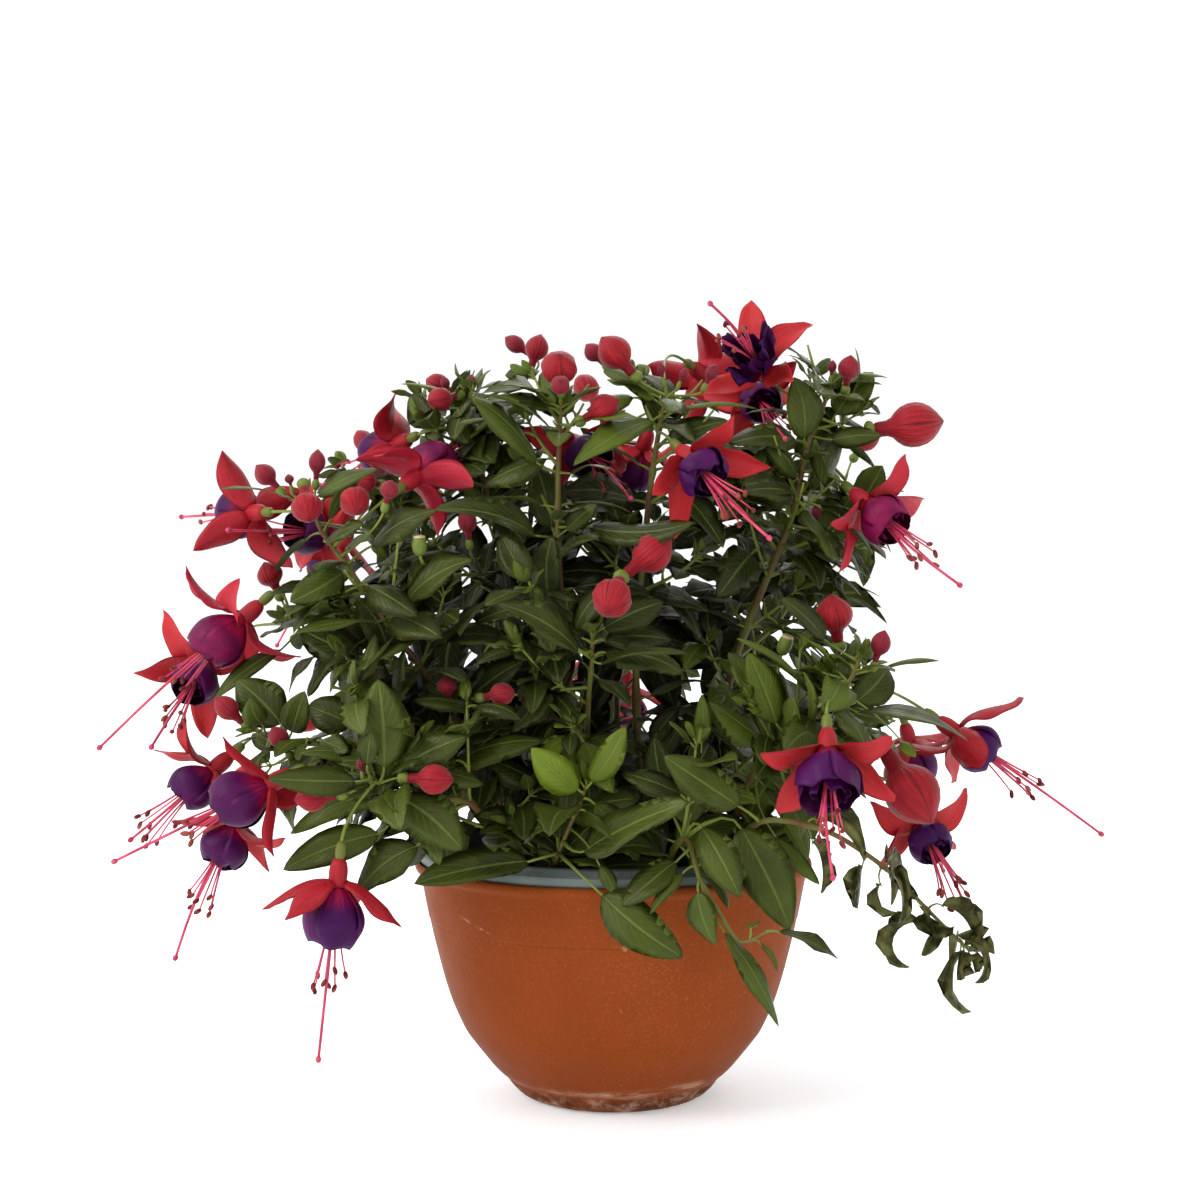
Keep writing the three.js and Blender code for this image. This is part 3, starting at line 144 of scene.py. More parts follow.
BLOOMS = [
    dict(name="01", stem="low_left", mouth=[337, 885, -128], style=[318, 1063, -128],
        sepals=[[262, 912, -126], [285, 931, -150], [392, 942, -134], [352, 905, -96]]),
    dict(name="02", stem="mid_left", mouth=[268, 785, -112], style=[111, 863, -122],
        sepals=[[222, 735, -124], [312, 784, -88], [278, 862, -124], [236, 800, -78]]),
    dict(name="03", stem="mid_left", mouth=[212, 771, -44], style=[128, 842, -58],
        sepals=[[141, 769, -46], [187, 722, -40], [171, 828, -62], [232, 812, -22]]),
    dict(name="04", stem="mid_left", mouth=[234, 826, -62], style=[174, 961, -80],
        sepals=[[262, 880, -50], [290, 842, -60], [176, 822, -66], [204, 846, -32]]),
    dict(name="05", stem="left_arm", mouth=[242, 620, -52], style=[97, 750, -60],
        sepals=[[180, 559, -56], [303, 657, -58], [240, 578, -84], [228, 690, -28]]),
    dict(name="06", stem="left_arm", mouth=[204, 668, -14], style=[150, 749, -80],
        sepals=[[154, 618, -12], [208, 742, -2], [160, 700, -44], [246, 640, -6]]),
    dict(name="07", stem="left", mouth=[252, 513, -34], style=[180, 517, 32],
        sepals=[[222, 450, -40], [193, 551, -46], [293, 568, -40], [300, 492, -18]]),
    dict(name="08", stem="left", mouth=[324, 532, 4], style=[226, 530, -52],
        sepals=[[304, 566, 22], [350, 572, -6], [352, 498, 2], [312, 484, 14]]),
    dict(name="09", stem="upper_left", mouth=[396, 446, 6], style=[318, 486, 66],
        sepals=[[368, 408, 20], [404, 396, -6], [374, 470, -22], [424, 488, 20]]),
    dict(name="10", stem="left", mouth=[417, 476, -52], style=[493, 422, 6],
        sepals=[[364, 454, -56], [378, 492, -78], [438, 538, -40], [474, 486, -76]]),
    dict(name="11", stem="right", mouth=[761, 367, -20], style=[709, 302, -86],
        sepals=[[787, 298, -14], [814, 320, -2], [790, 378, -48], [699, 392, -32]]),
    dict(name="12", stem="back_right", mouth=[757, 396, 30], style=[786, 440, -40],
        sepals=[[744, 426, 6], [792, 392, 4], [712, 400, 44], [776, 362, 56]]),
    dict(name="13", stem="upper_right", mouth=[702, 374, 24], style=[752, 412, 84],
        sepals=[[701, 332, 6], [660, 366, 14], [688, 418, 26], [738, 352, 40]]),
    dict(name="14", stem="upper_right", mouth=[692, 461, -92], style=[771, 540, -152],
        sepals=[[730, 428, -100], [661, 510, -106], [716, 528, -118], [776, 468, -86]]),
    dict(name="15", stem="right", mouth=[868, 505, -44], style=[962, 587, -92],
        sepals=[[904, 456, -46], [926, 498, -18], [833, 530, -60], [836, 565, -62]]),
    dict(name="16", stem="low_right", mouth=[828, 752, -146], style=[833, 881, -192],
        sepals=[[758, 757, -156], [886, 748, -152], [790, 838, -150], [904, 808, -142]]),
    dict(name="17", stem="low_right", mouth=[958, 734, -46], style=[1104, 836, -54],
        sepals=[[1031, 713, -54], [986, 792, -72], [918, 724, -46], [951, 824, -44]]),
    dict(name="18", stem="low_right", mouth=[922, 828, -52], style=[970, 915, -100],
        sepals=[[862, 812, -58], [964, 790, -44], [884, 866, -64], [946, 846, -16]]),
    dict(name="19", stem="centre", mouth=[580, 447, -14], style=[632, 500, -78],
        sepals=[[532, 432, -18], [618, 416, -8], [560, 492, -34], [626, 470, 6]]),
    dict(name="20", stem="back", mouth=[642, 450, 96], style=[600, 560, 128],
        sepals=[[612, 462, 86], [688, 424, 90], [664, 500, 112], [632, 440, 136]]),
    dict(name="21", stem="back_low", room=1, mouth=[10, 226, 206], style=[10, 244, 118],
        sepals=[[-27, 228, 196], [10, 262, 196], [47, 226, 198], [12, 192, 190]]),
    dict(name="22", stem="back_left", room=1, mouth=[-168, 150, 300], style=[-214, 190, 236],
        sepals=[[-196, 126, 306], [-146, 176, 282], [-160, 162, 334], [-184, 146, 266]]),
    dict(name="23", stem="back_low_right", room=1, mouth=[186, 160, 178], style=[212, 186, 92],
        sepals=[[208, 132, 186], [170, 190, 168], [218, 178, 186], [166, 138, 156]]),
]

# Each bud's stem, base, tip and half width.
BUDS = [
    ("right", (874, 430, -22), (944, 421, -22), 12.3),
    ("centre_side", (620, 580, -104), (606, 612, -128), 9.6),
    ("centre_side", (626, 574, -92), (671, 538, -96), 9.4),
    ("low_left", (408, 778, -128), (454, 780, -132), 7.6),
    ("low_left", (337, 795, -126), (294, 800, -128), 6.8),
    ("centre_side", (484, 697, -96), (515, 692, -102), 5.8),
    ("left", (448, 700, -86), (446, 676, -88), 5.1),
    ("low_right", (838, 642, -70), (831, 594, -74), 9.4),
    ("low_right", (875, 662, -98), (885, 630, -100), 4.9),
    ("left", (304, 488, -74), (309, 522, -86), 7.8),
    ("left", (316, 480, -62), (318, 449, -62), 4.3),
    ("left", (278, 488, -64), (256, 465, -66), 5.2),
    ("left", (352, 484, -74), (357, 514, -88), 7.6),
    ("upper_left", (378, 484, -24), (356, 480, -34), 6.4),
    ("left", (386, 503, -92), (392, 480, -96), 4.8),
    ("upper_left", (469, 540, -50), (466, 508, -52), 4.8),
    ("left_arm", (278, 592, -22), (264, 562, -24), 6.8),
    ("upper_left", (456, 396, -22), (428, 402, -34), 6.4),
    ("upper_left", (452, 392, 4), (426, 379, 8), 6.2),
    ("centre", (559, 386, -58), (559, 354, -76), 9.2),
    ("centre", (561, 392, -74), (560, 380, -88), 4.8),
    ("centre", (584, 419, -74), (619, 399, -78), 6.9),
    ("upper_left", (531, 368, -2), (541, 334, 0), 6.2),
    ("upper_left", (529, 354, 14), (505, 337, 16), 4.8),
    ("upper_right", (633, 374, -54), (601, 337, -56), 8.4),
    ("upper_right", (604, 364, -30), (586, 344, -28), 4.8),
    ("right", (846, 386, -22), (851, 355, -28), 5.6),
    ("mid_left", (243, 723, -80), (215, 697, -82), 5.9),
    ("mid_left", (288, 752, -86), (272, 727, -92), 5),
    ("low_right", (886, 752, -84), (932, 824, -100), 13.6),
]
ROOM_BUDS = [
    ("back", (-10, 112, 386), (-20, 132, 404), 7.5),
    ("back_left", (-146, 142, 356), (-158, 154, 372), 6),
    ("back_right", (148, 128, 356), (162, 140, 374), 6.4),
    ("back_low", (-6, 210, 226), (-26, 226, 214), 7.4),
    ("back_low_left", (-176, 160, 196), (-200, 166, 188), 7),
]

# Each leaf's stem, base, tip, width and facing.
LEAVES = [
    ("centre", (537, 463, -66), (472, 397, -84), 19, "tilted"),
    ("centre", (572, 474, -72), (610, 470, -100), 12, "up"),
    ("centre", (535, 536, -74), (434, 510, -104), 21, "tilted"),
    ("centre", (590, 543, -82), (696, 538, -112), 20, "behind"),
    ("centre", (549, 427, -68), (474, 394, -92), 15, "up"),
    ("centre", (572, 426, -70), (640, 418, -84), 15, "up"),
    ("centre", (552, 528, -52), (536, 466, -44), 20, "front"),
    ("centre", (567, 530, -78), (597, 504, -88), 12, "front"),
    ("centre", (552, 404, -66), (516, 386, -84), 10, "up"),
    ("centre", (568, 404, -66), (602, 387, -86), 10, "up"),
    ("centre_side", (601, 664, -104), (688, 654, -128), 17, "up"),
    ("centre_side", (578, 652, -104), (498, 604, -118), 21, "tilted"),
    ("centre_side", (604, 628, -92), (664, 602, -84), 20, "front"),
    ("centre_side", (580, 622, -90), (546, 592, -78), 17, "front"),
    ("upper_right", (652, 421, -56), (573, 466, -96), 18, "tilted"),
    ("upper_right", (668, 443, -56), (729, 421, -62), 17, "tilted"),
    ("upper_right", (675, 411, -54), (758, 409, -66), 10, "up"),
    ("upper_right", (655, 400, -50), (603, 371, -38), 14, "tilted"),
    ("upper_left", (454, 396, -16), (400, 384, -30), 8, "up"),
    ("upper_left", (470, 395, -14), (519, 383, -26), 9, "up"),
    ("left", (343, 573, -76), (290, 602, -92), 21, "front"),
    ("left", (378, 622, -82), (295, 634, -104), 17, "up"),
    ("left", (408, 600, -78), (474, 560, -88), 23, "tilted"),
    ("left", (372, 546, -76), (438, 510, -84), 20, "tilted"),
    ("left", (326, 542, -76), (364, 524, -90), 15, "tilted"),
    ("left", (292, 500, -72), (219, 490, -84), 10, "up"),
    ("left", (318, 496, -70), (379, 469, -80), 14, "tilted"),
    ("left_arm", (281, 650, -50), (213, 701, -58), 13, "left"),
    ("left_arm", (333, 650, -50), (308, 697, -58), 15, "left"),
    ("mid_left", (292, 732, -80), (305, 691, -92), 16, "front"),
    ("mid_left", (281, 724, -76), (236, 680, -70), 25, "front"),
    ("mid_left", (262, 724, -84), (250, 698, -94), 13, "front"),
    ("mid_left", (352, 724, -70), (308, 706, -64), 21, "front"),
    ("low_left", (384, 768, -126), (378, 679, -122), 27, "front"),
    ("low_left", (356, 782, -130), (267, 779, -142), 20, "tilted"),
    ("low_left", (394, 776, -120), (468, 736, -130), 21, "front"),
    ("low_left", (367, 765, -134), (371, 731, -138), 11, "front"),
    ("low_left", (400, 798, -122), (462, 850, -138), 27, "front"),
    ("low_left", (384, 794, -108), (290, 834, -112), 16, "tilted"),
    ("low_left", (379, 834, -112), (283, 870, -114), 19, "front"),
    ("low_left", (418, 846, -122), (356, 896, -124), 24, "left"),
    ("front", (528, 862, -112), (414, 884, -132), 23, "tilted"),
    ("front", (584, 852, -108), (690, 802, -136), 26, "tilted"),
    ("front", (602, 895, -120), (683, 958, -132), 24, "front"),
    ("front", (578, 790, -104), (531, 748, -118), 19, "front"),
    ("front", (592, 782, -102), (626, 726, -108), 15, "front"),
    ("front_right", (676, 862, -118), (622, 906, -128), 18, "tilted"),
    ("front_right", (702, 828, -122), (740, 898, -140), 20, "front"),
    ("front_right", (741, 828, -122), (790, 930, -138), 27, "front"),
    ("front_right", (724, 932, -133), (779, 1027, -128), 13, "right"),
    ("front_right", (698, 892, -130), (716, 945, -134), 16, "left"),
    ("trailing", (779, 932, -136), (839, 960, -136), 15, "up"),
    ("wilted", (738, 806, -114), (664, 756, -126), 22, "front"),
    ("low_right", (858, 713, -102), (968, 741, -116), 16, "up"),
    ("low_right", (884, 668, -102), (940, 661, -108), 9, "up"),
    ("low_right", (856, 702, -86), (888, 668, -76), 21, "front"),
    ("low_right", (776, 724, -92), (748, 652, -84), 21, "front"),
    ("mid_left", (450, 766, -84), (544, 741, -96), 21, "tilted"),
    ("left", (466, 702, -66), (526, 660, -76), 19, "tilted"),
    ("centre", (584, 742, -60), (654, 720, -84), 16, "up"),
    ("low_right", (764, 742, -84), (709, 702, -92), 20, "tilted"),
    ("low_right", (808, 692, -98), (736, 638, -112), 15, "up"),
    ("low_right", (838, 672, -92), (797, 634, -102), 14, "up"),
    ("low_right", (824, 640, -84), (780, 598, -88), 15, "tilted"),
    ("front_right", (664, 786, -92), (655, 736, -88), 18, "left"),
    ("right", (804, 438, -26), (794, 377, -30), 20, "front"),
    ("right", (796, 477, -28), (764, 442, -34), 17, "tilted"),
    ("right", (832, 440, -24), (882, 436, -32), 13, "front"),
    ("right", (824, 379, -20), (788, 355, -26), 8, "up"),
    ("right", (853, 374, -14), (888, 378, -20), 8, "up"),
    ("right", (830, 398, -24), (865, 401, -34), 11, "up"),
]

# Small leaves, as in the list of leaves.
LITTLE_LEAVES = [
    ("low_right", (776, 838, -92), (820, 885, -100), 9, "front"),
    ("front_right", (702, 743, -96), (702, 694, -98), 9, "front"),
    ("front", (600, 866, -116), (616, 898, -122), 8, "front"),
    ("wilted", (862, 866, -110), (858, 909, -114), 9, "left"),
    ("wilted", (880, 884, -108), (898, 912, -112), 9, "left"),
    ("wilted", (916, 900, -104), (904, 872, -96), 11, "front"),
    ("wilted", (930, 912, -102), (954, 926, -108), 12, "left"),
    ("wilted", (940, 926, -100), (922, 956, -104), 10, "front"),
    ("wilted", (958, 936, -100), (978, 924, -94), 9, "front"),
    ("wilted", (964, 950, -98), (972, 1012, -96), 9, "left"),
    ("low_right", (902, 742, -96), (916, 757, -102), 7, "front"),
    ("upper_left", (505, 560, 20), (556, 528, 24), 20, "front"),
    ("upper_left", (515, 630, 20), (566, 640, 20), 18, "front"),
    ("upper_right", (660, 540, 0), (722, 530, 10), 22, "front"),
    ("back", (640, 640, 50), (676, 712, 46), 24, "front"),
    ("upper_right", (668, 632, 20), (722, 664, 16), 27, "front"),
    ("back", (608, 640, 60), (596, 716, 50), 26, "front"),
    ("left", (470, 745, -20), (494, 806, -26), 18, "front"),
]

# Buds that are too small for the frame, as in the list of buds.
LITTLE_BUDS = [
    ("upper_left", (448, 392, -14), (443, 376, -14), 2.6),
    ("upper_left", (470, 392, -14), (472, 374, -14), 2.6),
    ("upper_right", (663, 378, -52), (660, 362, -52), 2.2),
    ("upper_right", (680, 382, -52), (686, 368, -52), 2.2),
    ("right", (818, 522, -22), (816, 504, -22), 2.8),
    ("right", (831, 376, -20), (833, 360, -20), 2.4),
    ("low_left", (362, 772, -124), (360, 758, -124), 2.4),
    ("low_left", (370, 776, -124), (369, 764, -124), 2.2),
    ("left", (291, 486, -66), (288, 474, -66), 2.4),
    ("upper_right", (706, 384, -48), (716, 364, -48), 3.4),
]

# Green pods that are left where a flower has dropped: stem, foot and cut top.
PODS = [
    ("upper_left", (420, 556, -84), (419, 536, -84)),
    ("low_right", (781, 655, -70), (788, 636, -72)),
]
# The rim of a pod's flat cut: radius, and height above the cut.
POD_CUT = np.array([[0.2, -1.6], [3.1, -1.4], [3.3, -0.2], [2.6, 0.3], [2.2, -0.1], [0.2, -0.3]])

FACING = {
    "up": (0, -0.25, 1), "tilted": (0, -0.8, 0.8), "behind": (0, -0.8, 0.8), "front": (0, -1, 0.3),
    "left": (-0.7, -0.8, 0.4), "right": (0.7, -0.8, 0.4),
}

# Where a shoot's own pairs of leaves start and end, as shares of its length, and their size.
PAIRS = dict(
    centre=(0.25, 0.9, 0.95), centre_side=(0.3, 0.8, 0.8), front=(0.3, 0.9, 0.7),
    upper_left=(0.22, 1, 0.92), back_left=(0.15, 1, 1), left=(0.2, 0.92, 0.95), left_arm=(0.2, 0.95, 0.8),
    upper_right=(0.22, 1, 0.95), right=(0.22, 1, 0.95), back_right=(0.15, 1, 1), low_right=(0.22, 1, 0.95),
    wilted=(0.3, 1, 0.7), front_right=(0.3, 0.8, 0.7), trailing=(0.5, 0.9, 0.45), low_left=(0.35, 0.9, 0.8),
    mid_left=(0.2, 0.78, 0.95), back=(0.2, 1, 1.05), back_low=(0.15, 1, 1), back_low_left=(0.2, 1, 1),
    back_low_right=(0.2, 1, 1),
)

# How far gone a bloom is, from violet at 0 to magenta at 1, how wide its skirt opens, and how large it is.
BLOOM_LOOKS = {
    "01": (0.08, 0.12, 1.1), "02": (0.2, 0.05, 1.0), "03": (0.1, 0.1, 0.8), "04": (0.1, 0.1, 0.8),
    "05": (0.85, 0.15, 1.0), "06": (0.2, 0.1, 0.85), "07": (0.1, 0.1, 0.85), "08": (0.2, 0.2, 0.8),
    "09": (0.1, 0.1, 0.85), "10": (0.8, 0.2, 0.85), "11": (0.05, 0.5, 0.92), "12": (0.2, 0.2, 0.72),
    "13": (0.1, 0.1, 0.8), "14": (0.05, 0.15, 0.8), "15": (0.85, 0.2, 0.88), "16": (0.1, 0.45, 1.04),
    "17": (0.05, 0.1, 0.8), "18": (0.05, 0.15, 0.68), "19": (0.1, 0.2, 0.85), "20": (0.1, 0.2, 0.85),
    "21": (0.5, 0.2, 0.9), "22": (0.1, 0.1, 0.9), "23": (0.1, 0.2, 0.9),
}
# Blooms whose sepals are widest near their tips.
BLUNT_SEPALS = ("16", "17")

# How each petal whorl is wound, and the blooms whose whorls aren't a plain skirt round a folded one.
SKIRT = dict(turn=0, sweep=1, wide=1, ruffle=0.6, fold=0.3, flare=0, point=0)
INNER = dict(turn=1, sweep=0.72, wide=0.62, ruffle=1.1, fold=1.3, flare=0.8, point=0.3)
SPREAD = dict(turn=0, sweep=0.62, wide=0.9, ruffle=0.9, fold=0.7, flare=5, point=1)
LOOSE = dict(turn=0, sweep=0.86, wide=1.02, ruffle=1.3, fold=0.9, flare=0.5, point=0.25)
SPREAD_INNER = dict(turn=1, sweep=0.6, wide=0.55, ruffle=0.9, fold=0.9, flare=1.0, point=1)
WHORLS = {"11": (SPREAD, SPREAD_INNER, INNER), "16": (LOOSE, INNER, SPREAD_INNER), "14": (LOOSE, INNER)}

# Where the picture shows young, pale leaves: x, y, reach and how pale.
YOUNG_PLACES = [(556, 768, 19, 0.85), (598, 752, 16, 0.45), (705, 690, 40, 0.2), (775, 680, 62, 0.28),
                (790, 820, 60, 0.3), (620, 840, 50, 0.1), (590, 395, 60, 0.3), (700, 810, 40, 0.2)]

# Open places of the picture, and how wide they are. Nothing may hide what is this far behind the middle.
OPEN_PX = [(812, 338, 20), (880, 350, 20), (800, 428, 13), (848, 472, 22), (806, 478, 12), (868, 440, 12),
           (316, 652, 15), (346, 632, 9), (431, 609, 8), (276, 678, 13)]
OPEN_DEPTH = 170

SOIL_DEPTH = 88
SOIL_CROWN = 123.5
LEAF = dict(length=48, shape=0.48, stalk=9, spacing=43)
BLOOM = dict(tube=13, ovary=9, sepal=39)
SEPAL_LEAN = (-0.75, 0.42)  # how far back and how far forward a sepal may point, as a cosine with its tube
SEPAL_STRETCH = (0.86, 1.06)
EVEN_SLACK = 0.38  # how far, in radians, a sepal may stand off an even cross
LIFT_CLEAR = (0, 4, 8)  # how far a leaf that is behind a bud is moved back and up, in millimetres

# What the source of the frame tries in turn where a thing would cross another: depths, turns and rises.
DEPTH_TRIES = (0, 7, -7, 14, -14, 22, -22, 30, -30)
BLOOM_TRIES = (0, 8, -8, 16, -16, 24, -24, 34, -34, 46, -46)
TURN_TRIES = (0, 0.25, -0.25, 0.5, -0.5, 0.8, -0.8, 1.1, -1.1)
RISE_TRIES = (0, 0.35)
SAME_PLACE = 0.15  # how near a vertex of the frame has to be to a tip, in millimetres, to be that tip

# Small leaves
JOINT_SPACING = 17
SHORTEST_SHOOT = 22
SHOOT_SHARES = (0.35, 0.66, 0.95)  # where a side shoot carries its pairs of leaves
TUFT_LEAVES = 5
TUFT_SIZE = 13
WILTED_TUFT_SIZE = 12
BLADE_POINTS = 5  # points across each side of a leaf
SPIN_TRIES = (0, 0.7, -0.7, 1.4, -1.4)
WILTED_FROM = 78  # how far to the right the wilted stem's leaves are still green
HULL_CENTRE = np.array([-6, 30, 235])  # the middle of the plant's rounded mass, and its half sizes
HULL_REACH = np.array([262, 225, 195])
CROWN_PX = 341  # the top of the leaves in the picture
POT_FRONT = np.array([612, 878, 205])  # middle, top and half width of the bowl's bare front in the picture
POT_ROOM = (114, 130)  # the radius and height that leaves keep out of
BARE_ABOVE = 270  # the height above which the three main stems show bare
STEPS_ALONG = np.linspace(0, 1, 5)[:, None]  # where a leaf is tested along its length

# ---- Points and lines --------------------------------------------------------------------------------


def unit(v):
    """v / |v| along the last axis."""
    return v / np.maximum(np.linalg.norm(v, axis=-1, keepdims=True), 1e-12)


def across(v, axis):
    """The part of v that is square to a unit axis: v - (v . axis) axis."""
    return v - np.sum(v * axis, axis=-1, keepdims=True) * axis


def turned(v, axis, angle):
    """v turned about a unit axis: v cos a + (axis x v) sin a + axis (axis . v)(1 - cos a)."""
    along = np.sum(v * axis, axis=-1, keepdims=True)
    return v * np.cos(angle) + np.cross(axis, v) * np.sin(angle) + axis * along * (1 - np.cos(angle))


def mix(a, b, t):
    """a + (b - a) t."""
    return a + (b - a) * t


def beside(way):
    """Straight up as far as that is square to a way, or X as far where the way itself stands nearly
    upright."""
    return unit(across(np.array([0, 0, 1.0] if abs(way[2]) < 0.9 else [1.0, 0, 0]), way))


def there_and_back(low, high, count):
    """Numbers from low to high and back, with each end once, for points round a thin section."""
    return np.concatenate([np.linspace(low, high, count), np.linspace(high, low, count)[1:-1]])


def place(points, room=False):
    """Points in room millimetres. A picture point lies on its pixel's ray from the eye, at its depth Y."""
    points = np.asarray(points, float)
    if room:
        return points
    right = (points[..., 0] - EYE["centre_px"]) / EYE["focal_px"]
    up = (EYE["centre_px"] - points[..., 1]) / EYE["focal_px"]
    ahead = math.cos(EYE_PITCH) + up * math.sin(EYE_PITCH)
    rise = up * math.cos(EYE_PITCH) - math.sin(EYE_PITCH)
    reach = (EYE["distance"] + points[..., 2]) / ahead
    return np.stack([EYE["x"] + right * reach, points[..., 2], EYE["height"] + rise * reach], -1)


def seen(points):
    """Where points in the room show in the picture, in its pixels: the reverse of place()."""
    x, y, z = points[..., 0] - EYE["x"], points[..., 1] + EYE["distance"], points[..., 2] - EYE["height"]
    ahead = y * math.cos(EYE_PITCH) - z * math.sin(EYE_PITCH)
    up = z * math.cos(EYE_PITCH) + y * math.sin(EYE_PITCH)
    return EYE["centre_px"] + EYE["focal_px"] * np.stack([x, -up], -1) / ahead[..., None]


def set_back(points, shift, room):
    """Listed points in the room, moved back by shift."""
    return place(np.array(points) + ([0, shift, 0] if room else [0, 0, shift]), room)


class Draws:
    """A small repeatable source of numbers, the same as the source of the frame draws from."""

    def __init__(self, seed=20711):
        self.seed = seed

    def __call__(self, low, high):
        self.seed = (self.seed * 1664525 + 1013904223) % 4294967296
        return low + (high - low) * self.seed / 4294967296


def along(points, t):
    """The place on a chain of straight spans, at a share t of their number."""
    i = min(len(points) - 2, math.floor(t * (len(points) - 1)))
    return mix(points[i], points[i + 1], t * (len(points) - 1) - i)


def spans_of(points):
    """The lengths of the straight spans of a chain."""
    return np.linalg.norm(np.diff(points, axis=0), axis=1)


def smooth_line(points, t):
    """A Hermite curve through points at shares t. Its slope at a point runs from the point before to the one
    after, and is as long as the shorter of the two spans there."""
    spans = np.diff(points, axis=0)
    lengths = spans_of(points)
    shorter = np.minimum(lengths[1:], lengths[:-1])[:, None]
    slopes = np.vstack([spans[:1], unit(points[2:] - points[:-2]) * shorter, spans[-1:]])
    x = np.clip(np.atleast_1d(t), 0, 1) * (len(points) - 1)
    i = np.minimum(x.astype(int), len(points) - 2)
    f = (x - i)[:, None]
    return ((2 * f**3 - 3 * f**2 + 1) * points[i] + (f**3 - 2 * f**2 + f) * slopes[i]
            + (3 * f**2 - 2 * f**3) * points[i + 1] + (f**3 - f**2) * slopes[i + 1])


# ---- The plan of what the frame holds ----------------------------------------------------------------


def node_points(node):
    """The vertices of a node of the frame, in millimetres."""
    mesh = FRAME["nodes"][node].data
    points = np.empty(len(mesh.vertices) * 3, np.float32)
    mesh.vertices.foreach_get("co", points)
    return points.reshape(-1, 3).astype(float) / MM


def first_that_stands(tries, points):
    """The first of the tries whose tip is a vertex of the frame, or None."""
    for found in tries:
        if np.linalg.norm(points - found["tip"], axis=1).min() < SAME_PLACE:
            return found
    return None


def plan_branches():
    """Every stem with its points in the room, from its root in the soil or on its parent."""
    branches = {}
    for stem in STEMS:
        points = place(stem["path"], "room" in stem)
        if "root" in stem:
            x, y = stem["root"]
            start = np.array([[x, y, SOIL_DEPTH], [x, y, SOIL_CROWN + 6]], float)
        else:
            parent, k = stem["parent"]
            fork = branches[parent]["points"][k + 1]
            start = (fork - 0.3 * stem["radius"] * unit(points[0] - fork))[None]
        branches[stem["name"]] = {**stem, "points": np.vstack([start, points]), "pairs": []}
    return branches


def root_on(branch, target):
    """The point on a stem's smooth middle line from which a stalk reaches for a target: of eight places
    on each span, past the first four, it is the one nearest to the target."""
    steps = 8 * (len(branch["points"]) - 1)
    places = (np.arange(steps - 4) + 4) / steps
    away = [np.linalg.norm(along(branch["points"], t) - target) for t in places]
    return smooth_line(branch["points"], places[int(np.argmin(away))])[0]


def even_turns(reaches, axis):
    """How far each of four sepals is turned about the axis, so that they stand within EVEN_SLACK of a
    cross."""
    side = unit(across(reaches[0], axis))
    other = np.cross(axis, side)
    angles = np.arctan2(reaches @ other, reaches @ side)
    offsets = angles - np.argsort(np.argsort(angles)) * math.pi / 2
    extra = offsets - offsets.mean()
    return np.clip(extra, -EVEN_SLACK, EVEN_SLACK) - extra


def plan_bloom(bloom, branches, shift):
    """A bloom's mouth, axis, sepal tips, style tip and stalk, moved back by shift."""
    room = "room" in bloom
    mouth = set_back(bloom["mouth"], shift, room)
    style = set_back(bloom["style"], shift, room)
    axis = unit(style - mouth)
    reaches = set_back(bloom["sepals"], shift, room) - mouth
    forward = np.clip(unit(reaches) @ axis, *SEPAL_LEAN)[:, None]
    stretch = np.clip(np.linalg.norm(reaches, axis=1) / BLOOM["sepal"], *SEPAL_STRETCH)
    lengths = (stretch * BLOOM["sepal"])[:, None]
    turns = even_turns(reaches, axis)
    outward = np.array([turned(unit(across(r, axis)), axis, t) for r, t in zip(reaches, turns)])
    tips = mouth + axis * lengths * forward + outward * lengths * np.sqrt(1 - forward**2)
    branch = branches[bloom["stem"]]
    foot = mouth - axis * (BLOOM["tube"] + BLOOM["ovary"])
    root = root_on(branch, mouth - axis * (BLOOM["tube"] + BLOOM["ovary"] + 14) + (0, 0, -4))
    bend = foot - axis * 0.4 * np.linalg.norm(root - foot)
    return dict(name=bloom["name"], branch=branch, mouth=mouth, axis=axis, tips=tips, tip=tips[0],
                style=style, root=root, foot=foot, bend=bend)


def plan_bud(bud, branches, shift, room=False):
    """A bud's base, tip and stalk, moved back by shift."""
    stem, base, tip, wide = bud
    base, tip = set_back([base, tip], shift, room)
    axis = unit(tip - base)
    root = root_on(branches[stem], base - 10 * axis)
    bend = base - axis * 0.35 * np.linalg.norm(root - base)
    return dict(branch=branches[stem], base=base, tip=tip, wide=wide, root=root, bend=bend)


def plan_named_leaves(branches, points, draw):
    """The leaves that are listed one by one. One that is behind a bud bends back and is lifted clear of
    it."""
    leaves = []
    for stem, base, tip, width, facing in LEAVES:
        behind = facing == "behind"
        curl = draw(0.4, 0.9) * (-0.8 if behind else 1)
        face = np.array(FACING[facing], float)
        form = dict(curl=curl, width=width, face=face, branch=branches[stem], listed=True)
        tries = [dict(form, base=set_back(base, shift, False), tip=set_back(tip, shift * 1.3, False))
                 for shift in DEPTH_TRIES]
        found = first_that_stands(tries, points[branches[stem]["node"]])
        if found:
            lift = np.array(LIFT_CLEAR) if behind else 0
            found["base"], found["tip"] = found["base"] + lift, found["tip"] + lift
            found["root"] = root_on(branches[stem], found["base"] - 6 * unit(found["tip"] - found["base"]))
            leaves.append(found)
    return leaves


def pair_tries(start, way, spin, sign, size, length, lean, droop):
    """The places that one leaf of a pair may take, turn by turn and rise by rise."""
    for turn in TURN_TRIES:
        for rise in RISE_TRIES:
            aim = unit(turned(beside(way), way, spin + turn) * sign + way * (lean + rise))
            base = start + aim * LEAF["stalk"] * (0.5 + 0.5 * size)
            tip = base + unit(aim + (0, 0, rise - droop)) * length
            yield dict(base=base, tip=tip, face=np.array([aim[0] * 0.35, aim[1] * 0.35, 1]))


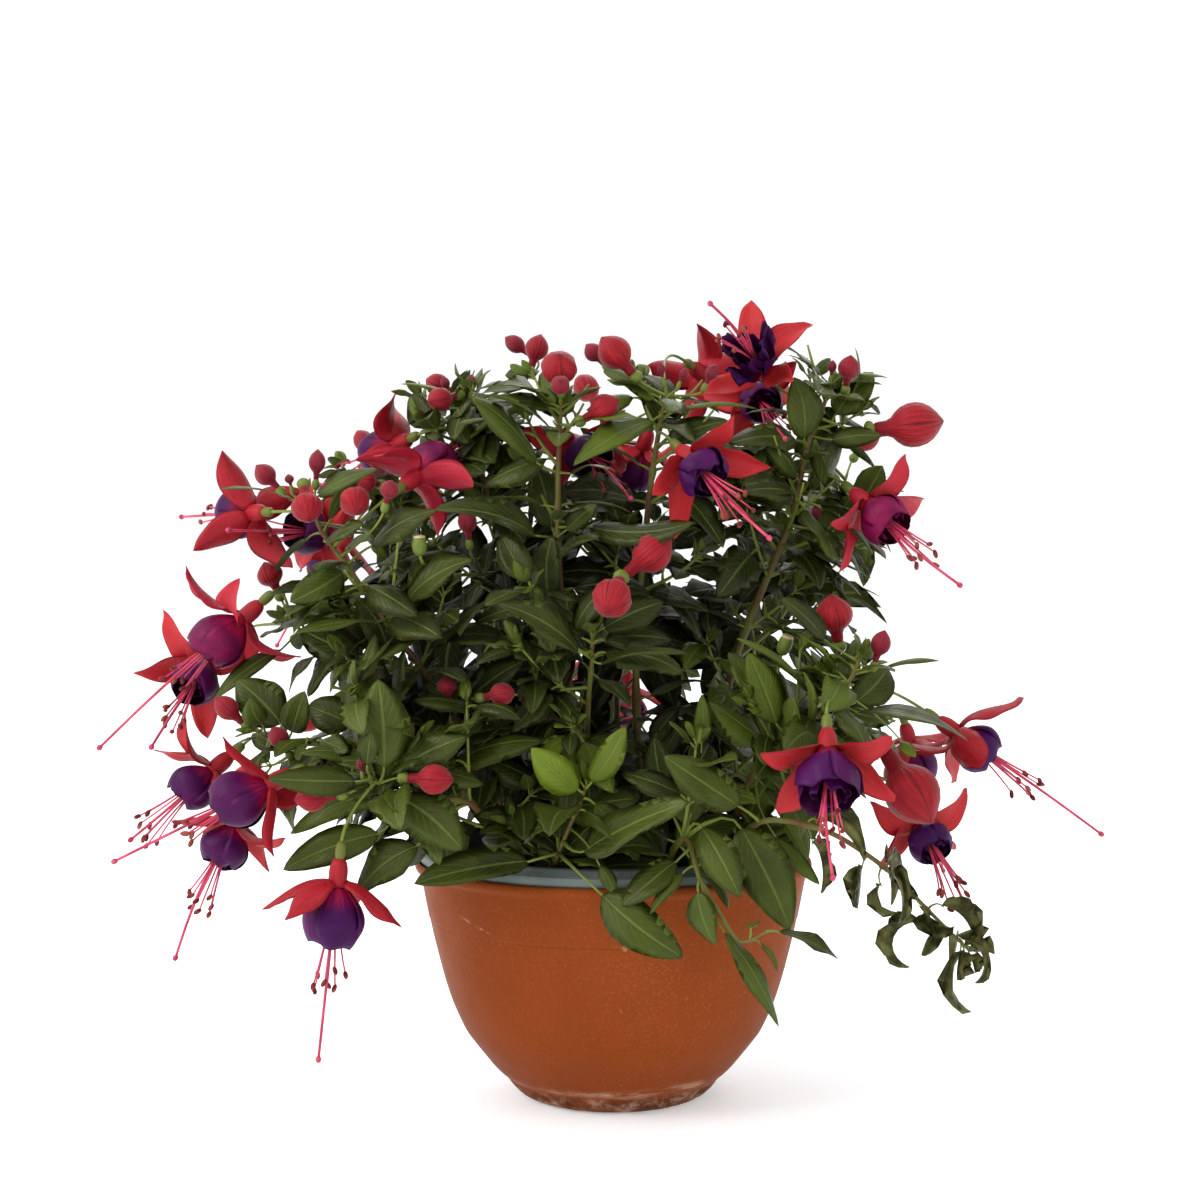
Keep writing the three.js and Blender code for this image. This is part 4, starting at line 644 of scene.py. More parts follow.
def plan_pairs(branch, points, draw):
    """Opposite pairs of leaves up a stem, each pair a quarter turn round from the last."""
    first, last, size = PAIRS[branch["name"]]
    line = branch["points"]
    pairs = max(1, math.floor(spans_of(line).sum() * (last - first) / LEAF["spacing"] + 0.5))
    wilted = branch["name"] == "wilted"
    leaves = []
    for pair in range(pairs):
        t = first + (last - first) * (pair + 0.5) / pairs
        way = unit(along(line, min(1, t + 0.02)) - along(line, t - 0.02))
        branch["pairs"].append(t)
        for sign in (1, -1):
            length = LEAF["length"] * size * (1 - 0.5 * t * t) * draw(0.85, 1.12)
            width = length * LEAF["shape"] * draw(0.88, 1.12) * (0.6 if wilted else 1)
            spin = pair * 1.45 + draw(-0.3, 0.3) + 0.5
            lean = draw(0.25, 0.6)
            droop = 1.5 if wilted else draw(0.2, 0.75)
            curl = draw(0.4, 1.1) * (1.8 if wilted else 1)
            tries = pair_tries(along(line, t), way, spin, sign, size, length, lean, droop)
            found = first_that_stands(tries, points[branch["node"]])
            if found:
                root = smooth_line(line, t)[0]
                leaves.append(dict(found, width=width, curl=curl, branch=branch, root=root))
    return leaves


def plan_plant():
    """Where every stem, leaf, bud and bloom of the frame is."""
    branches = plan_branches()
    points = {name: node_points(name) for name in FRAME["nodes"]}
    blooms = []
    for bloom in BLOOMS:
        plans = (plan_bloom(bloom, branches, shift) for shift in BLOOM_TRIES)
        found = first_that_stands(plans, points["bloom_" + bloom["name"]])
        if found is None:
            raise RuntimeError(f"bloom {bloom['name']} isn't where the frame has it")
        blooms.append(found)
    buds = []
    for bud in BUDS + ROOM_BUDS:
        plans = (plan_bud(bud, branches, shift, bud in ROOM_BUDS) for shift in BLOOM_TRIES)
        found = first_that_stands(plans, points[branches[bud[0]]["node"]])
        if found:
            buds.append(found)
    draw = Draws()
    leaves = plan_named_leaves(branches, points, draw)
    for branch in branches.values():
        leaves += plan_pairs(branch, points, draw)
    return dict(branches=branches, blooms=blooms, buds=buds, leaves=leaves)


PLANT = plan_plant()

# ---- Skins -------------------------------------------------------------------------------------------


class Skin:
    """Closed skins that are joined up from rings of points and end as one mesh."""

    def __init__(self):
        self.points, self.uvs, self.values, self.quads, self.caps, self.count = [], [], [], [], [], 0

    def shell(self, rings, uv=None, slots=0, values=(0, 0)):
        """Adds skins over rings[n, s, t]: skin n, ring s, point t round the ring, with a cap at either
        end. uv is the map's place of each point, slots the material of each strip t, and values the tint
        and age of each skin."""
        rings = np.asarray(rings, float)
        rings = rings[None] if rings.ndim == 3 else rings
        n, s, t = rings.shape[:3]
        index = np.arange(n * s * t).reshape(n, s, t) + self.count
        quads = np.stack([index, np.roll(index, -1, 2)], -1)
        quads = np.concatenate([quads[:, :-1], quads[:, 1:, :, ::-1]], -1)
        corners = rings.reshape(-1, 3)[quads - self.count] - rings.mean((1, 2))[:, None, None, None]
        volume = np.linalg.det(corners[..., [0, 1, 2], :]) + np.linalg.det(corners[..., [0, 2, 3], :])
        inside_out = volume.sum((1, 2)) < 0
        quads[inside_out] = quads[inside_out][..., ::-1]
        slots = np.broadcast_to(slots, (n, s - 1, t))
        self.quads.append(np.column_stack([quads.reshape(-1, 4), slots.reshape(-1)]))
        for skin, flip in zip(index, inside_out):
            first, last = (skin[0], skin[-1][::-1]) if flip else (skin[0][::-1], skin[-1])
            self.caps += [(first, slots[0, 0, 0]), (last, slots[0, 0, 0])]
        if uv is None:
            across_ring = np.abs(2 * np.arange(t) / t - 1)
            uv = np.stack(np.meshgrid(np.linspace(0, 1, s), across_ring, indexing="ij"), -1)
        self.points.append(rings.reshape(-1, 3))
        self.uvs.append(np.broadcast_to(uv, (n, s, t, 2)).reshape(-1, 2))
        values = np.broadcast_to(np.asarray(values, float).reshape(-1, 2), (n, 2))
        self.values.append(np.repeat(values, s * t, axis=0))
        self.count += n * s * t

    def faces(self, joined):
        """The faces that are left once points are joined, and the material of each. A quad with two
        corners at one place becomes a triangle, and a face with fewer than three corners goes."""
        quads = np.vstack(self.quads)
        spots = joined[quads[:, :4]]
        whole = (spots != np.roll(spots, -1, 1)).all(1) & (spots[:, :2] != spots[:, 2:]).all(1)
        faces = [row[:4] for row in quads[whole]]
        slots = list(quads[whole][:, 4])
        for corners, slot in [(row[:4], row[4]) for row in quads[~whole]] + self.caps:
            spot = joined[corners]
            corners = corners[spot != np.roll(spot, -1)]
            if len(corners) > 2 and len(set(joined[corners])) == len(corners):
                faces.append(corners)
                slots.append(slot)
        return faces, slots

    def make(self, name, materials, nodes):
        """Joins points that coincide, fills in the mesh in metres and hands it to the frame."""
        points, uvs, values = (np.vstack(a) for a in (self.points, self.uvs, self.values))
        _, kept, joined = np.unique(np.round(points, 3), axis=0, return_index=True, return_inverse=True)
        joined = joined.reshape(-1)
        faces, slots = self.faces(joined)
        loops = np.concatenate(faces)
        starts = np.concatenate([[0], np.cumsum([len(face) for face in faces])[:-1]])
        mesh = bpy.data.meshes.new(name)
        mesh.vertices.add(len(kept))
        mesh.vertices.foreach_set("co", (points[kept] * MM).astype(np.float32).ravel())
        mesh.loops.add(len(loops))
        mesh.loops.foreach_set("vertex_index", joined[loops].astype(np.int32))
        mesh.polygons.add(len(faces))
        mesh.polygons.foreach_set("loop_start", starts.astype(np.int32))
        mesh.polygons.foreach_set("material_index", np.array(slots, np.int32))
        mesh.polygons.foreach_set("use_smooth", np.ones(len(faces), bool))
        mesh.uv_layers.new(name="map").data.foreach_set("uv", uvs[loops].astype(np.float32).ravel())
        for k, value_name in enumerate(("tint", "age")):
            attribute = mesh.attributes.new(value_name, "FLOAT", "POINT")
            attribute.data.foreach_set("value", values[kept, k].astype(np.float32))
        mesh.update(calc_edges=True)
        mesh.validate(clean_customdata=False)
        for material in materials:
            mesh.materials.append(material)
        piece = add_object(name, mesh)
        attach(piece, "root")
        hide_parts(*nodes)


def add_object(name, data):
    thing = bpy.data.objects.new(name, data)
    bpy.context.scene.collection.objects.link(thing)
    return thing


def grid(*parts):
    """The map's place of each point of a grid, from its two directions."""
    return np.stack(np.broadcast_arrays(*parts), -1)


def tube_rings(line, radius, sides):
    """Rings round a line: line[s] + radius[s] (cos a side + sin a other), with the side square to the
    line and nearly square to the flattest plane through it, so that it doesn't flip over in a bend."""
    way = unit(np.gradient(line, axis=0))
    flattest = np.linalg.svd(line - line.mean(0))[2][-1]
    side = unit(across(flattest, way))
    other = np.cross(way, side)
    a = 2 * np.pi * np.arange(sides) / sides
    radius = np.broadcast_to(radius, len(line))[:, None, None]
    return line[:, None] + radius * (np.cos(a)[:, None] * side[:, None] + np.sin(a)[:, None] * other[:, None])


def bend_line(start, bend, end, steps):
    """A quadratic Bezier line: (1 - t)^2 start + 2 t (1 - t) bend + t^2 end."""
    t = np.linspace(0, 1, steps)[:, None]
    return (1 - t) ** 2 * start + 2 * t * (1 - t) * bend + t**2 * end


def lathe_rings(profile, sides):
    """Rings of a body of revolution about Z: radius r at height z gives (r cos a, r sin a, z)."""
    profile = np.asarray(profile, float)
    a = 2 * np.pi * np.arange(sides) / sides
    return np.stack([profile[:, :1] * np.cos(a), profile[:, :1] * np.sin(a),
                     np.repeat(profile[:, 1:], sides, 1)], -1)


def spindle_rings(start, end, radii, sides):
    """Rings of an egg or spindle from start to end, with its radii spread along it by a cosine so that
    its ends are round."""
    share = (1 - np.cos(np.linspace(0, np.pi, len(radii)))) / 2
    return tube_rings(start + (end - start) * share[:, None], np.asarray(radii, float), sides)


EGG = np.sin(np.linspace(0, np.pi, 7))

# ---- Finishes ----------------------------------------------------------------------------------------


def linear(code):
    """A colour such as 0x9C4A1E in the linear numbers that a shader takes: ((c + 0.055) / 1.055)^2.4."""
    parts = np.array([code >> 16 & 255, code >> 8 & 255, code & 255]) / 255
    return tuple(np.where(parts <= 0.04045, parts / 12.92, ((parts + 0.055) / 1.055) ** 2.4))


def dim(colour, share):
    """A colour at a share of its brightness."""
    return [part * share for part in colour]


def between(low, high, share):
    """A colour at a share of the way from one to another."""
    return [mix(a, b, share) for a, b in zip(low, high)]


class Finish:
    """A material while it is being worked out, with short ways to add and join nodes."""

    def __init__(self, name, **settings):
        self.material = bpy.data.materials.new(name)
        self.material.use_nodes = True
        self.nodes = self.material.node_tree.nodes
        self.links = self.material.node_tree.links
        self.skin = self.nodes["Principled BSDF"]
        for socket, value in settings.items():
            self.put(self.skin.inputs[socket.replace("_", " ")], value)
        self.places = self.nodes.new("ShaderNodeTexCoord").outputs["Object"]

    def put(self, socket, value):
        """Joins a node's output to a socket, or sets the socket's own value."""
        if isinstance(value, bpy.types.NodeSocket):
            self.links.new(value, socket)
        else:
            is_colour = socket.type == "RGBA" and len(value) == 3
            socket.default_value = (*value, 1) if is_colour else value

    def add(self, kind, out=0, settings=None, **inputs):
        """A new node's output. Inputs go by name, or by number after a low line where names repeat."""
        node = self.nodes.new("ShaderNode" + kind)
        for key, value in (settings or {}).items():
            setattr(node, key, value)
        for key, value in inputs.items():
            self.put(node.inputs[int(key[1:]) if key[1:].isdigit() else key.replace("_", " ")], value)
        return node.outputs[out]

    def math(self, operation, a, b=0.0, c=0.0):
        return self.add("Math", settings=dict(operation=operation), _0=a, _1=b, _2=c)

    def times(self, a, b):
        return self.math("MULTIPLY", a, b)

    def plus(self, a, b):
        return self.math("ADD", a, b)

    def times_plus(self, a, b, c):
        """a b + c."""
        return self.math("MULTIPLY_ADD", a, b, c)

    def off(self, a, b):
        """How far a and b are apart: |a - b|."""
        return self.math("ABSOLUTE", self.math("SUBTRACT", a, b))

    def zigzag(self, value, times):
        """0 where value times "times" is a whole number, rising to 0.5 half way between."""
        return self.math("PINGPONG", self.times(value, times), 0.5)

    def blend(self, share, a, b):
        return self.add("Mix", out=2, settings=dict(data_type="RGBA"), _0=share, _6=a, _7=b)

    def value(self, name):
        return self.add("Attribute", out="Fac", settings=dict(attribute_name=name))

    def noise(self, scale, detail=3.0, rough=0.55, places=None):
        return self.add("TexNoise", Vector=places or self.places, Scale=scale, Detail=detail, Roughness=rough)

    def streaks(self, along_it, across_it, detail):
        """Noise on the piece's own map, so many times as fine along it and across it, and other on each
        skin."""
        u, v = self.map_axes()
        u, v = self.times(u, along_it), self.times(v, across_it)
        return self.noise(1.0, detail, 0.6, self.add("CombineXYZ", X=u, Y=v, Z=self.value("tint")))

    def span(self, value, low, high, to_low=0.0, to_high=1.0, kind="SMOOTHSTEP"):
        """value taken from low..high to 0..1, or to the two numbers given, with soft ends."""
        settings = dict(interpolation_type=kind)
        return self.add("MapRange", settings=settings, _0=value, _1=low, _2=high, _3=to_low, _4=to_high)

    def split(self, places):
        node = self.nodes.new("ShaderNodeSeparateXYZ")
        self.links.new(places, node.inputs[0])
        return tuple(node.outputs)

    def map_axes(self):
        """The two directions of the piece's own map."""
        return self.split(self.add("UVMap", settings=dict(uv_map="map")))[:2]

    def finish(self, colour, height=None, strength=0.3, distance=0.001, rough=None):
        """Joins the colour, the bump and the roughness to the shader."""
        self.put(self.skin.inputs["Base Color"], colour)
        if rough is not None:
            self.put(self.skin.inputs["Roughness"], rough)
        if height is not None:
            bump = self.add("Bump", Height=height, Strength=strength, Distance=distance)
            self.links.new(bump, self.skin.inputs["Normal"])
        return self.material


# Where the bowl is worn, in metres, as a material reads places.
SCRATCH_MIDDLE = -0.0725  # along X
SCRATCH_SLOPE = 0.403
SCRATCH_LEVEL = 0.0762  # its height where X is 0
SHOULDER_LEVEL = 0.0974
LIME_LEVEL = 0.0108
FOOT_TOP = (0.007, 0.013)  # where the chipped foot starts to end, and where it has ended


def clay_scratch(f, x, y, height):
    """How much of a faint broken scratch shows. It lies at z = level - slope x, on the bowl's front left."""
    off_line = f.math("ABSOLUTE", f.times_plus(x, SCRATCH_SLOPE, f.math("SUBTRACT", height, SCRATCH_LEVEL)))
    shown = f.span(f.off(x, SCRATCH_MIDDLE), 0.004, 0.0105, 0.34, 0.0)
    shown = f.times(shown, f.span(y, -0.02, 0.0, 1.0, 0.0))
    shown = f.times(shown, f.span(f.noise(240.0, 3.0), 0.4, 0.62))
    return f.times(f.span(off_line, 0.0001, 0.0009, 1.0, 0.0), shown)


def clay_shoulder(f, height):
    """A thin crease that wanders round the shoulder, and the patches of chalk along it."""
    off = f.off(height, f.times_plus(f.noise(9.0), 0.0016, SHOULDER_LEVEL))
    crease = f.times(f.span(off, 0.0001, 0.0007, 1.0, 0.0), f.span(f.noise(18.0), 0.4, 0.6, 0.1, 0.5))
    patches = f.times(f.span(off, 0.0006, 0.0022, 1.0, 0.0), f.span(f.noise(30.0, 3.0), 0.5, 0.64))
    return crease, f.times(patches, f.span(f.noise(420.0, 3.0), 0.45, 0.65, 0.0, 0.34))


def clay_lime(f, x, height):
    """A streaky band of lime above the foot, which wanders and is wider towards the right."""
    wide = f.times_plus(f.span(x, -0.02, 0.05), 0.004, 0.0034)
    middle = f.times_plus(f.noise(12.0), 0.005, LIME_LEVEL)
    off = f.math("DIVIDE", f.off(height, middle), wide)
    flat = f.add("Mapping", Vector=f.places, Scale=(0.28, 0.28, 1.6))
    return f.times(f.span(off, 0.1, 1.0, 1.0, 0.0), f.span(f.noise(90.0, 6.0, 0.8, flat), 0.42, 0.66))


def terracotta(body, lime):
    """Dull fired clay: cloudy, with painted shade that darkens it towards the foot, a fine pale grain, dust and
    specks, a faint scratch, a thin worn line at the shoulder, a streaky line of lime and a rough chipped brown
    foot."""
    f = Finish("terracotta", Specular_IOR_Level=0.05)
    x, y, height = f.split(f.places)
    colour = f.blend(f.span(f.noise(8.0, 4.0), 0.3, 0.7), dim(body, 0.88), dim(body, 1.14))
    # Painted shade: the clay is darkened towards the foot, for the lesser light under the bowl.
    colour = f.blend(f.span(height, 0.0, 0.1, 0.5, 0.0), colour, dim(body, 0.6))
    dusty = f.times(f.span(f.noise(9.0, 4.0), 0.36, 0.66, 0.3), f.span(height, 0.02, 0.12, 0.06, 0.15))
    colour = f.blend(f.times(f.span(f.noise(620.0, 3.0, 0.75), 0.48, 0.76), dusty), colour, lime)
    specks = f.times(f.span(f.noise(170.0, 3.0), 0.69, 0.77), f.span(f.noise(11.0), 0.5, 0.6, 0.0, 0.3))
    colour = f.blend(specks, colour, lime)
    colour = f.blend(clay_scratch(f, x, y, height), colour, lime)
    crease, chalk = clay_shoulder(f, height)
    colour = f.blend(chalk, f.blend(crease, colour, dim(body, 0.5)), lime)
    foot = f.times(f.span(height, *FOOT_TOP, 1.0, 0.0), f.span(f.noise(26.0, 4.0), 0.25, 0.6, 0.45, 1.0))
    chips = f.span(f.noise(75.0, 5.0, 0.8), 0.44, 0.7, 0.0, 0.6)
    brown = [part * share for part, share in zip(body, (0.42, 0.5, 0.8))]
    colour = f.blend(foot, colour, f.blend(chips, brown, lime))
    band = clay_lime(f, x, height)
    colour = f.blend(f.times(band, 0.62), colour, lime)
    bump = f.plus(f.noise(130.0, 5.0), f.times(f.noise(12.0), 2.0))
    bump = f.plus(bump, f.times(foot, f.times(f.noise(85.0, 6.0, 0.75), 7.0)))
    return f.finish(colour, bump, 0.25, 0.0012, f.span(f.plus(f.noise(40.0, 4.0), band), 0.3, 1.2, 0.46, 0.8))


def grey_plastic(light, dark):
    """Moulded plastic, with painted shade above the lip's step, and with dust and fine moulding rings."""
    f = Finish("grey_plastic", Specular_IOR_Level=0.45)
    height = f.split(f.places)[2]
    # Painted shade: above the step the lip takes the dark colour, for the shade of the leaves over it.
    colour = f.blend(f.span(height, 0.1344, 0.1352), light, dark)
    colour = f.blend(f.times(f.span(f.noise(50.0, 4.0), 0.45, 0.75), 0.3), colour, linear(0x8B8D84))
    rings = f.math("SINE", f.times(height, 5200.0))
    bump = f.plus(f.times(rings, 0.3), f.noise(320.0))
    return f.finish(colour, bump, 0.15, 0.0006, f.span(f.noise(60.0), 0.3, 0.7, 0.36, 0.58))


def peat():
    """Dark crumbly compost with fibres and a few pale grains."""
    f = Finish("peat", Specular_IOR_Level=0.2)
    crumbs = f.noise(260.0, 6.0, 0.75)
    colour = f.blend(f.span(crumbs, 0.35, 0.65), linear(0x120C08), linear(0x3A2A1C))
    grains = f.add("TexVoronoi", out="Distance", Vector=f.places, Scale=140.0)
    colour = f.blend(f.span(grains, 0.02, 0.12, 0.7, 0.0), colour, linear(0x6B5A45))
    return f.finish(colour, f.plus(crumbs, f.noise(60.0, 5.0)), 0.9, 0.003, 0.95)


def stem_skin(green, brown):
    """Stems and stalks: smooth yellow-green that turns red-brown as tint goes to 1, and a pale cut end at
    2."""
    f = Finish("stem_skin", Specular_IOR_Level=0.25)
    tint = f.value("tint")
    patch = f.span(f.noise(45.0, 4.0), 0.35, 0.68)
    colour = f.blend(f.times(tint, f.times_plus(patch, 0.6, 0.4)), green, brown)
    colour = f.blend(f.times(f.value("age"), 0.8), colour, linear(0x8C9C3E))
    colour = f.blend(f.span(tint, 1.4, 1.9), colour, linear(0xC4AA82))
    colour = f.blend(f.times(f.span(f.noise(300.0), 0.5, 0.75), 0.25), colour, linear(0x2B3312))
    return f.finish(colour, f.noise(240.0, 4.0), 0.3, 0.0006, 0.46)


def leaf_veins(f, off, u):
    """The midrib is the thin line in the middle. Side veins leave it at a slant: with off as |v|, they
    lie where 8 u - 3.4 off is near a whole number."""
    midrib = f.span(off, 0.03, 0.1, 1.0, 0.0)
    wobble = f.times(f.noise(90.0), 0.35)
    slant = f.plus(f.times_plus(off, -3.4, wobble), f.times(u, 8.0))
    line = f.math("PINGPONG", slant, 0.5)
    side_vein = f.times(f.span(line, 0.0, 0.11, 1.0, 0.0), f.span(off, 0.55, 1.0, 1.0, 0.1))
    return f.math("MAXIMUM", midrib, f.times(side_vein, 0.42))


def leaf_finish(name, dark, mid, young, vein, under):
    """A leaf's blade. The map runs from base to tip and from edge to edge. Tint takes it from painted shade at
    -1, for leaves deep inside the plant, to dried at 2, and age to the young colour."""
    f = Finish(name, Specular_IOR_Level=0.12 if under else 0.28, Specular_Tint=(1.0, 0.95, 0.64))
    u, v = f.map_axes()
    off = f.math("ABSOLUTE", f.times_plus(v, 2.0, -1.0))
    veins = leaf_veins(f, off, u)
    blotch = f.span(f.noise(38.0, 4.0), 0.3, 0.7)
    tint = f.value("tint")
    # Painted shade: at a tint of -1 the leaf is 0.3 of its dark colour, for the shade deep inside the plant.
    colour = f.blend(f.span(tint, -1.0, 0.1, kind="LINEAR"), dim(dark, 0.3), f.blend(blotch, dark, mid))
    colour = f.blend(f.times(f.span(tint, 0.0, 1.0), 0.5), colour, linear(0x4A581A))
    colour = f.blend(f.value("age"), colour, f.blend(blotch, dim(young, 0.8), young))
    colour = f.blend(f.times(veins, 0.5 if under else 0.32), colour, vein)
    dried = f.blend(f.span(f.noise(110.0, 4.0), 0.35, 0.65), linear(0x2A2A12), linear(0x64633A))
    colour = f.blend(f.span(tint, 1.2, 1.8), colour, dried)
    colour = f.blend(f.span(off, 0.9, 1.0, 0.0, 0.35), colour, linear(0x6A4A2A))
    puffs = f.math("SUBTRACT", f.noise(160.0, 3.0), f.times(veins, -1.2 if under else 1.2))
    return f.finish(colour, puffs, 0.5, 0.0012, f.span(f.noise(70.0), 0.3, 0.7, 0.34, 0.52))


def sepal_finish(name, deep, bright):
    """A sepal: waxy red, deeper at its tip and along fine lengthwise streaks, with a crepe-like mottle."""
    f = Finish(name, Specular_IOR_Level=0.2)
    streaks = f.streaks(5.0, 26.0, 4.0)
    crepe = f.noise(260.0, 4.0, 0.65)
    share = f.times_plus(streaks, 0.9, f.times_plus(crepe, 0.5, -0.2))
    colour = f.blend(f.span(share, 0.15, 0.85), deep, bright)
    colour = f.blend(f.span(f.map_axes()[0], 0.8, 1.0, 0.0, 0.4), colour, deep)
    colour = f.blend(f.times(f.value("age"), 0.5), colour, linear(0xB01846))
    bump = f.plus(crepe, f.times(streaks, 1.5))
    return f.finish(colour, bump, 0.3, 0.0008, f.span(crepe, 0.3, 0.7, 0.4, 0.58))


def petal_finish(name, violet, magenta, blush):
    """A petal of the skirt: violet that ages to magenta, with a flushed base and veins that fan up it."""
    f = Finish(name, Specular_IOR_Level=0.12)
    veins = f.streaks(1.6, 16.0, 3.0)
    colour = f.blend(f.value("age"), violet, magenta)
    colour = f.blend(f.span(f.noise(70.0, 4.0), 0.3, 0.7, 0.0, 0.6), colour, dim(violet, 0.45))
    flush = f.times(f.span(f.map_axes()[0], 0.05, 0.42, 0.85, 0.0), f.span(veins, 0.36, 0.6, 0.25, 1.0))
    colour = f.blend(flush, colour, blush)
    colour = f.blend(f.span(veins, 0.62, 0.74, 0.0, 0.35), colour, magenta)
    return f.finish(colour, f.plus(veins, f.noise(220.0, 3.0)), 0.35, 0.001, 0.48)


def plain_finish(name, low, high, scale, rough, gloss):
    """A small part whose colour wanders between two shades."""
    f = Finish(name, Specular_IOR_Level=gloss)
    colour = f.blend(f.span(f.noise(scale, 3.0), 0.35, 0.65), linear(low), linear(high))
    return f.finish(colour, f.noise(scale * 2), 0.25, 0.0005, rough)


def bud_finish(deep, bright):
    """A bud: dull crimson with fine streaks and 12 pairs of faint ribs from its neck to its tip, four
    dark seams, and a dusty bloom at its edges. Age is how small and dusky it still is."""
    f = Finish("bud_skin", Specular_IOR_Level=0.15, Sheen_Weight=0.14, Sheen_Roughness=0.4)
    u, v = f.map_axes()
    streaks = f.streaks(3.0, 34.0, 4.0)
    body = f.span(u, 0.22, 0.42)
    seam = f.times(f.span(f.zigzag(v, 2.0), 0.0, 0.05, 1.0, 0.0), body)
    rib = f.times(f.span(f.zigzag(v, 12.0), 0.0, 0.2, 1.0, 0.0), body)
    colour = f.blend(f.span(streaks, 0.3, 0.72), deep, bright)
    colour = f.blend(f.times(rib, 0.22), colour, dim(deep, 0.62))
    colour = f.blend(f.times(seam, 0.6), colour, dim(deep, 0.25))
    colour = f.blend(f.span(u, 0.9, 1.0, 0.0, 0.5), colour, dim(deep, 0.5))
    colour = f.blend(f.times(f.value("age"), 0.85), colour, linear(0x6A2030))
    colour = f.blend(f.span(u, 0.1, 0.34, 0.5, 0.0), colour, dim(deep, 0.6))
    height = f.plus(f.times_plus(seam, -2.4, streaks), f.times(rib, -0.9))
    return f.finish(colour, f.plus(height, f.times(f.noise(420.0), 0.5)), 0.35, 0.0008, 0.5)


# ---- Sizes and colours that a user would change ------------------------------------------------------


def colour_property(name, description, code):
    return FloatVectorProperty(name=name, description=description, subtype="COLOR", size=3, min=0, max=1,
                               default=linear(code))


class FuchsiaPot(bpy.types.PropertyGroup):
    """The bowl and the pot in it."""

    sides: IntProperty(name="Sides", description="Flats round the bowl", default=144, min=24)
    roughness: FloatProperty(name="Unevenness", description="How far the clay wanders from a true circle",
                             unit="LENGTH", default=0.0002)
    clay: colour_property("Clay", "Colour of the fired clay", 0x843C12)
    lime: colour_property("Lime", "Colour of the lime line and the scuffs", 0xC9A88E)
    plastic: colour_property("Plastic", "Lower part of the grey pot's lip", 0x59645F)
    # Painted shade: the shoulder colour darkens the lip above its step, for the shade of the leaves over it.
    shoulder: colour_property("Shoulder", "Upper part of the grey pot's lip", 0x333B38)


class FuchsiaGreenery(bpy.types.PropertyGroup):
    """Stems, stalks and leaves."""

    leaf_thickness: FloatProperty(name="Leaf thickness", description="Thickness of a leaf at its midrib",
                                  unit="LENGTH", default=0.0007)
    stem: colour_property("Stem", "Young stems and stalks", 0x63722A)
    bark: colour_property("Bark", "Older stems and joints", 0x5E3C22)
    # Leaf, dark and Underside, dark, at 0.3 of their brightness, also paint the shade of leaves deep inside the
    # plant.
    top_dark: colour_property("Leaf, dark", "Dark blotches on top of a leaf", 0x1E2608)
    top_mid: colour_property("Leaf, mid", "The top of a leaf between its blotches", 0x36400E)
    top_young: colour_property("Leaf, young", "The top of a young leaf", 0x6E8420)
    top_vein: colour_property("Veins", "Midrib and side veins on top of a leaf", 0x768640)
    under_dark: colour_property("Underside, dark", "Dark blotches under a leaf", 0x3E481C)
    under_mid: colour_property("Underside, mid", "The underside between its blotches", 0x515D28)
    under_young: colour_property("Underside, young", "The underside of a young leaf", 0x7C8C38)
    under_vein: colour_property("Underside veins", "Midrib and side veins under a leaf", 0x808A4E)


class FuchsiaBlooms(bpy.types.PropertyGroup):
    """Flowers and buds."""

    sepal_width: FloatProperty(name="Sepal width", description="Widest place of a sepal", unit="LENGTH",
                               default=0.0164)
    skirt_length: FloatProperty(name="Skirt length", description="From the mouth to the rim of the petals",
                                unit="LENGTH", default=0.0275)
    stamens: IntProperty(name="Stamens", description="Stamens in a flower", default=8, min=1)
    crimson: colour_property("Crimson", "Deep red on the backs of the sepals", 0x860E1E)
    coral: colour_property("Coral", "Bright red inside the sepals", 0xBE2828)
    violet: colour_property("Violet", "Fresh petals", 0x3A0A48)
    magenta: colour_property("Magenta", "Ageing petals", 0x80103F)


class FuchsiaStage(bpy.types.PropertyGroup):
    """Floor, lights and camera."""

    floor_size: FloatProperty(name="Floor", description="Side of the floor", unit="LENGTH", default=14.0)
    lens: FloatProperty(name="Lens", description="Focal length on a 36 mm sensor, in millimetres",
                        default=SENSOR * EYE["focal_px"] / PICTURE_PX)
    key_power: FloatProperty(name="Key light", description="Power of the large soft light", default=67.0)


# ---- Pot ---------------------------------------------------------------------------------------------

BOWL_OUTSIDE = [
    (0, 0), (44, 0), (47, 0.5), (50.6, 2), (54, 4.6), (57.2, 8.2), (59.8, 11.6), (62.4, 13.8), (66.6, 18),
    (71.8, 24.4), (77, 31), (82, 38), (88.4, 52), (92.7, 65), (96.4, 79), (98.9, 89), (101, 98.5), (101.5, 99.6),
    (103.2, 108), (104.9, 117), (106.4, 123.6), (107.4, 124.6), (108.5, 125.3), (109.1, 126.8), (109, 128.6),
    (108.3, 129.8), (107.4, 130), (106.9, 129.6),
]
BOWL_INSIDE = [
    (103.4, 121), (98.4, 98), (93.8, 78), (86.2, 53), (79.2, 38), (69, 25), (50, 8), (38, 3.4), (0, 3.2),
]
POT_OUTSIDE = [
    (0, 4.6), (46, 4.8), (66, 24.5), (84.6, 53), (97.2, 98), (101.2, 118), (103.8, 126), (105.4, 129.2),
    (106.2, 130.2), (106.4, 131), (106.4, 134.2), (106.1, 134.8), (105.7, 135.2), (105.6, 138.2), (105.2, 139.1),
    (104.4, 139.6), (103, 139.6), (102, 139.3), (101.6, 138.6),
]
POT_INSIDE = [(101.3, 131), (99.4, 118), (95.4, 98), (82.8, 53), (64, 25), (45, 6.6), (0, 6.4)]
WALL_RADIUS = 40  # the bowl's underside stays flat inside this radius
CHIP_DEPTH = 7
CHIP_HEIGHT = 6  # the middle of the chipped ring round the foot, and how far it reaches up and down
CHIP_REACH = 4.2
SOIL_RADIUS = 100.2


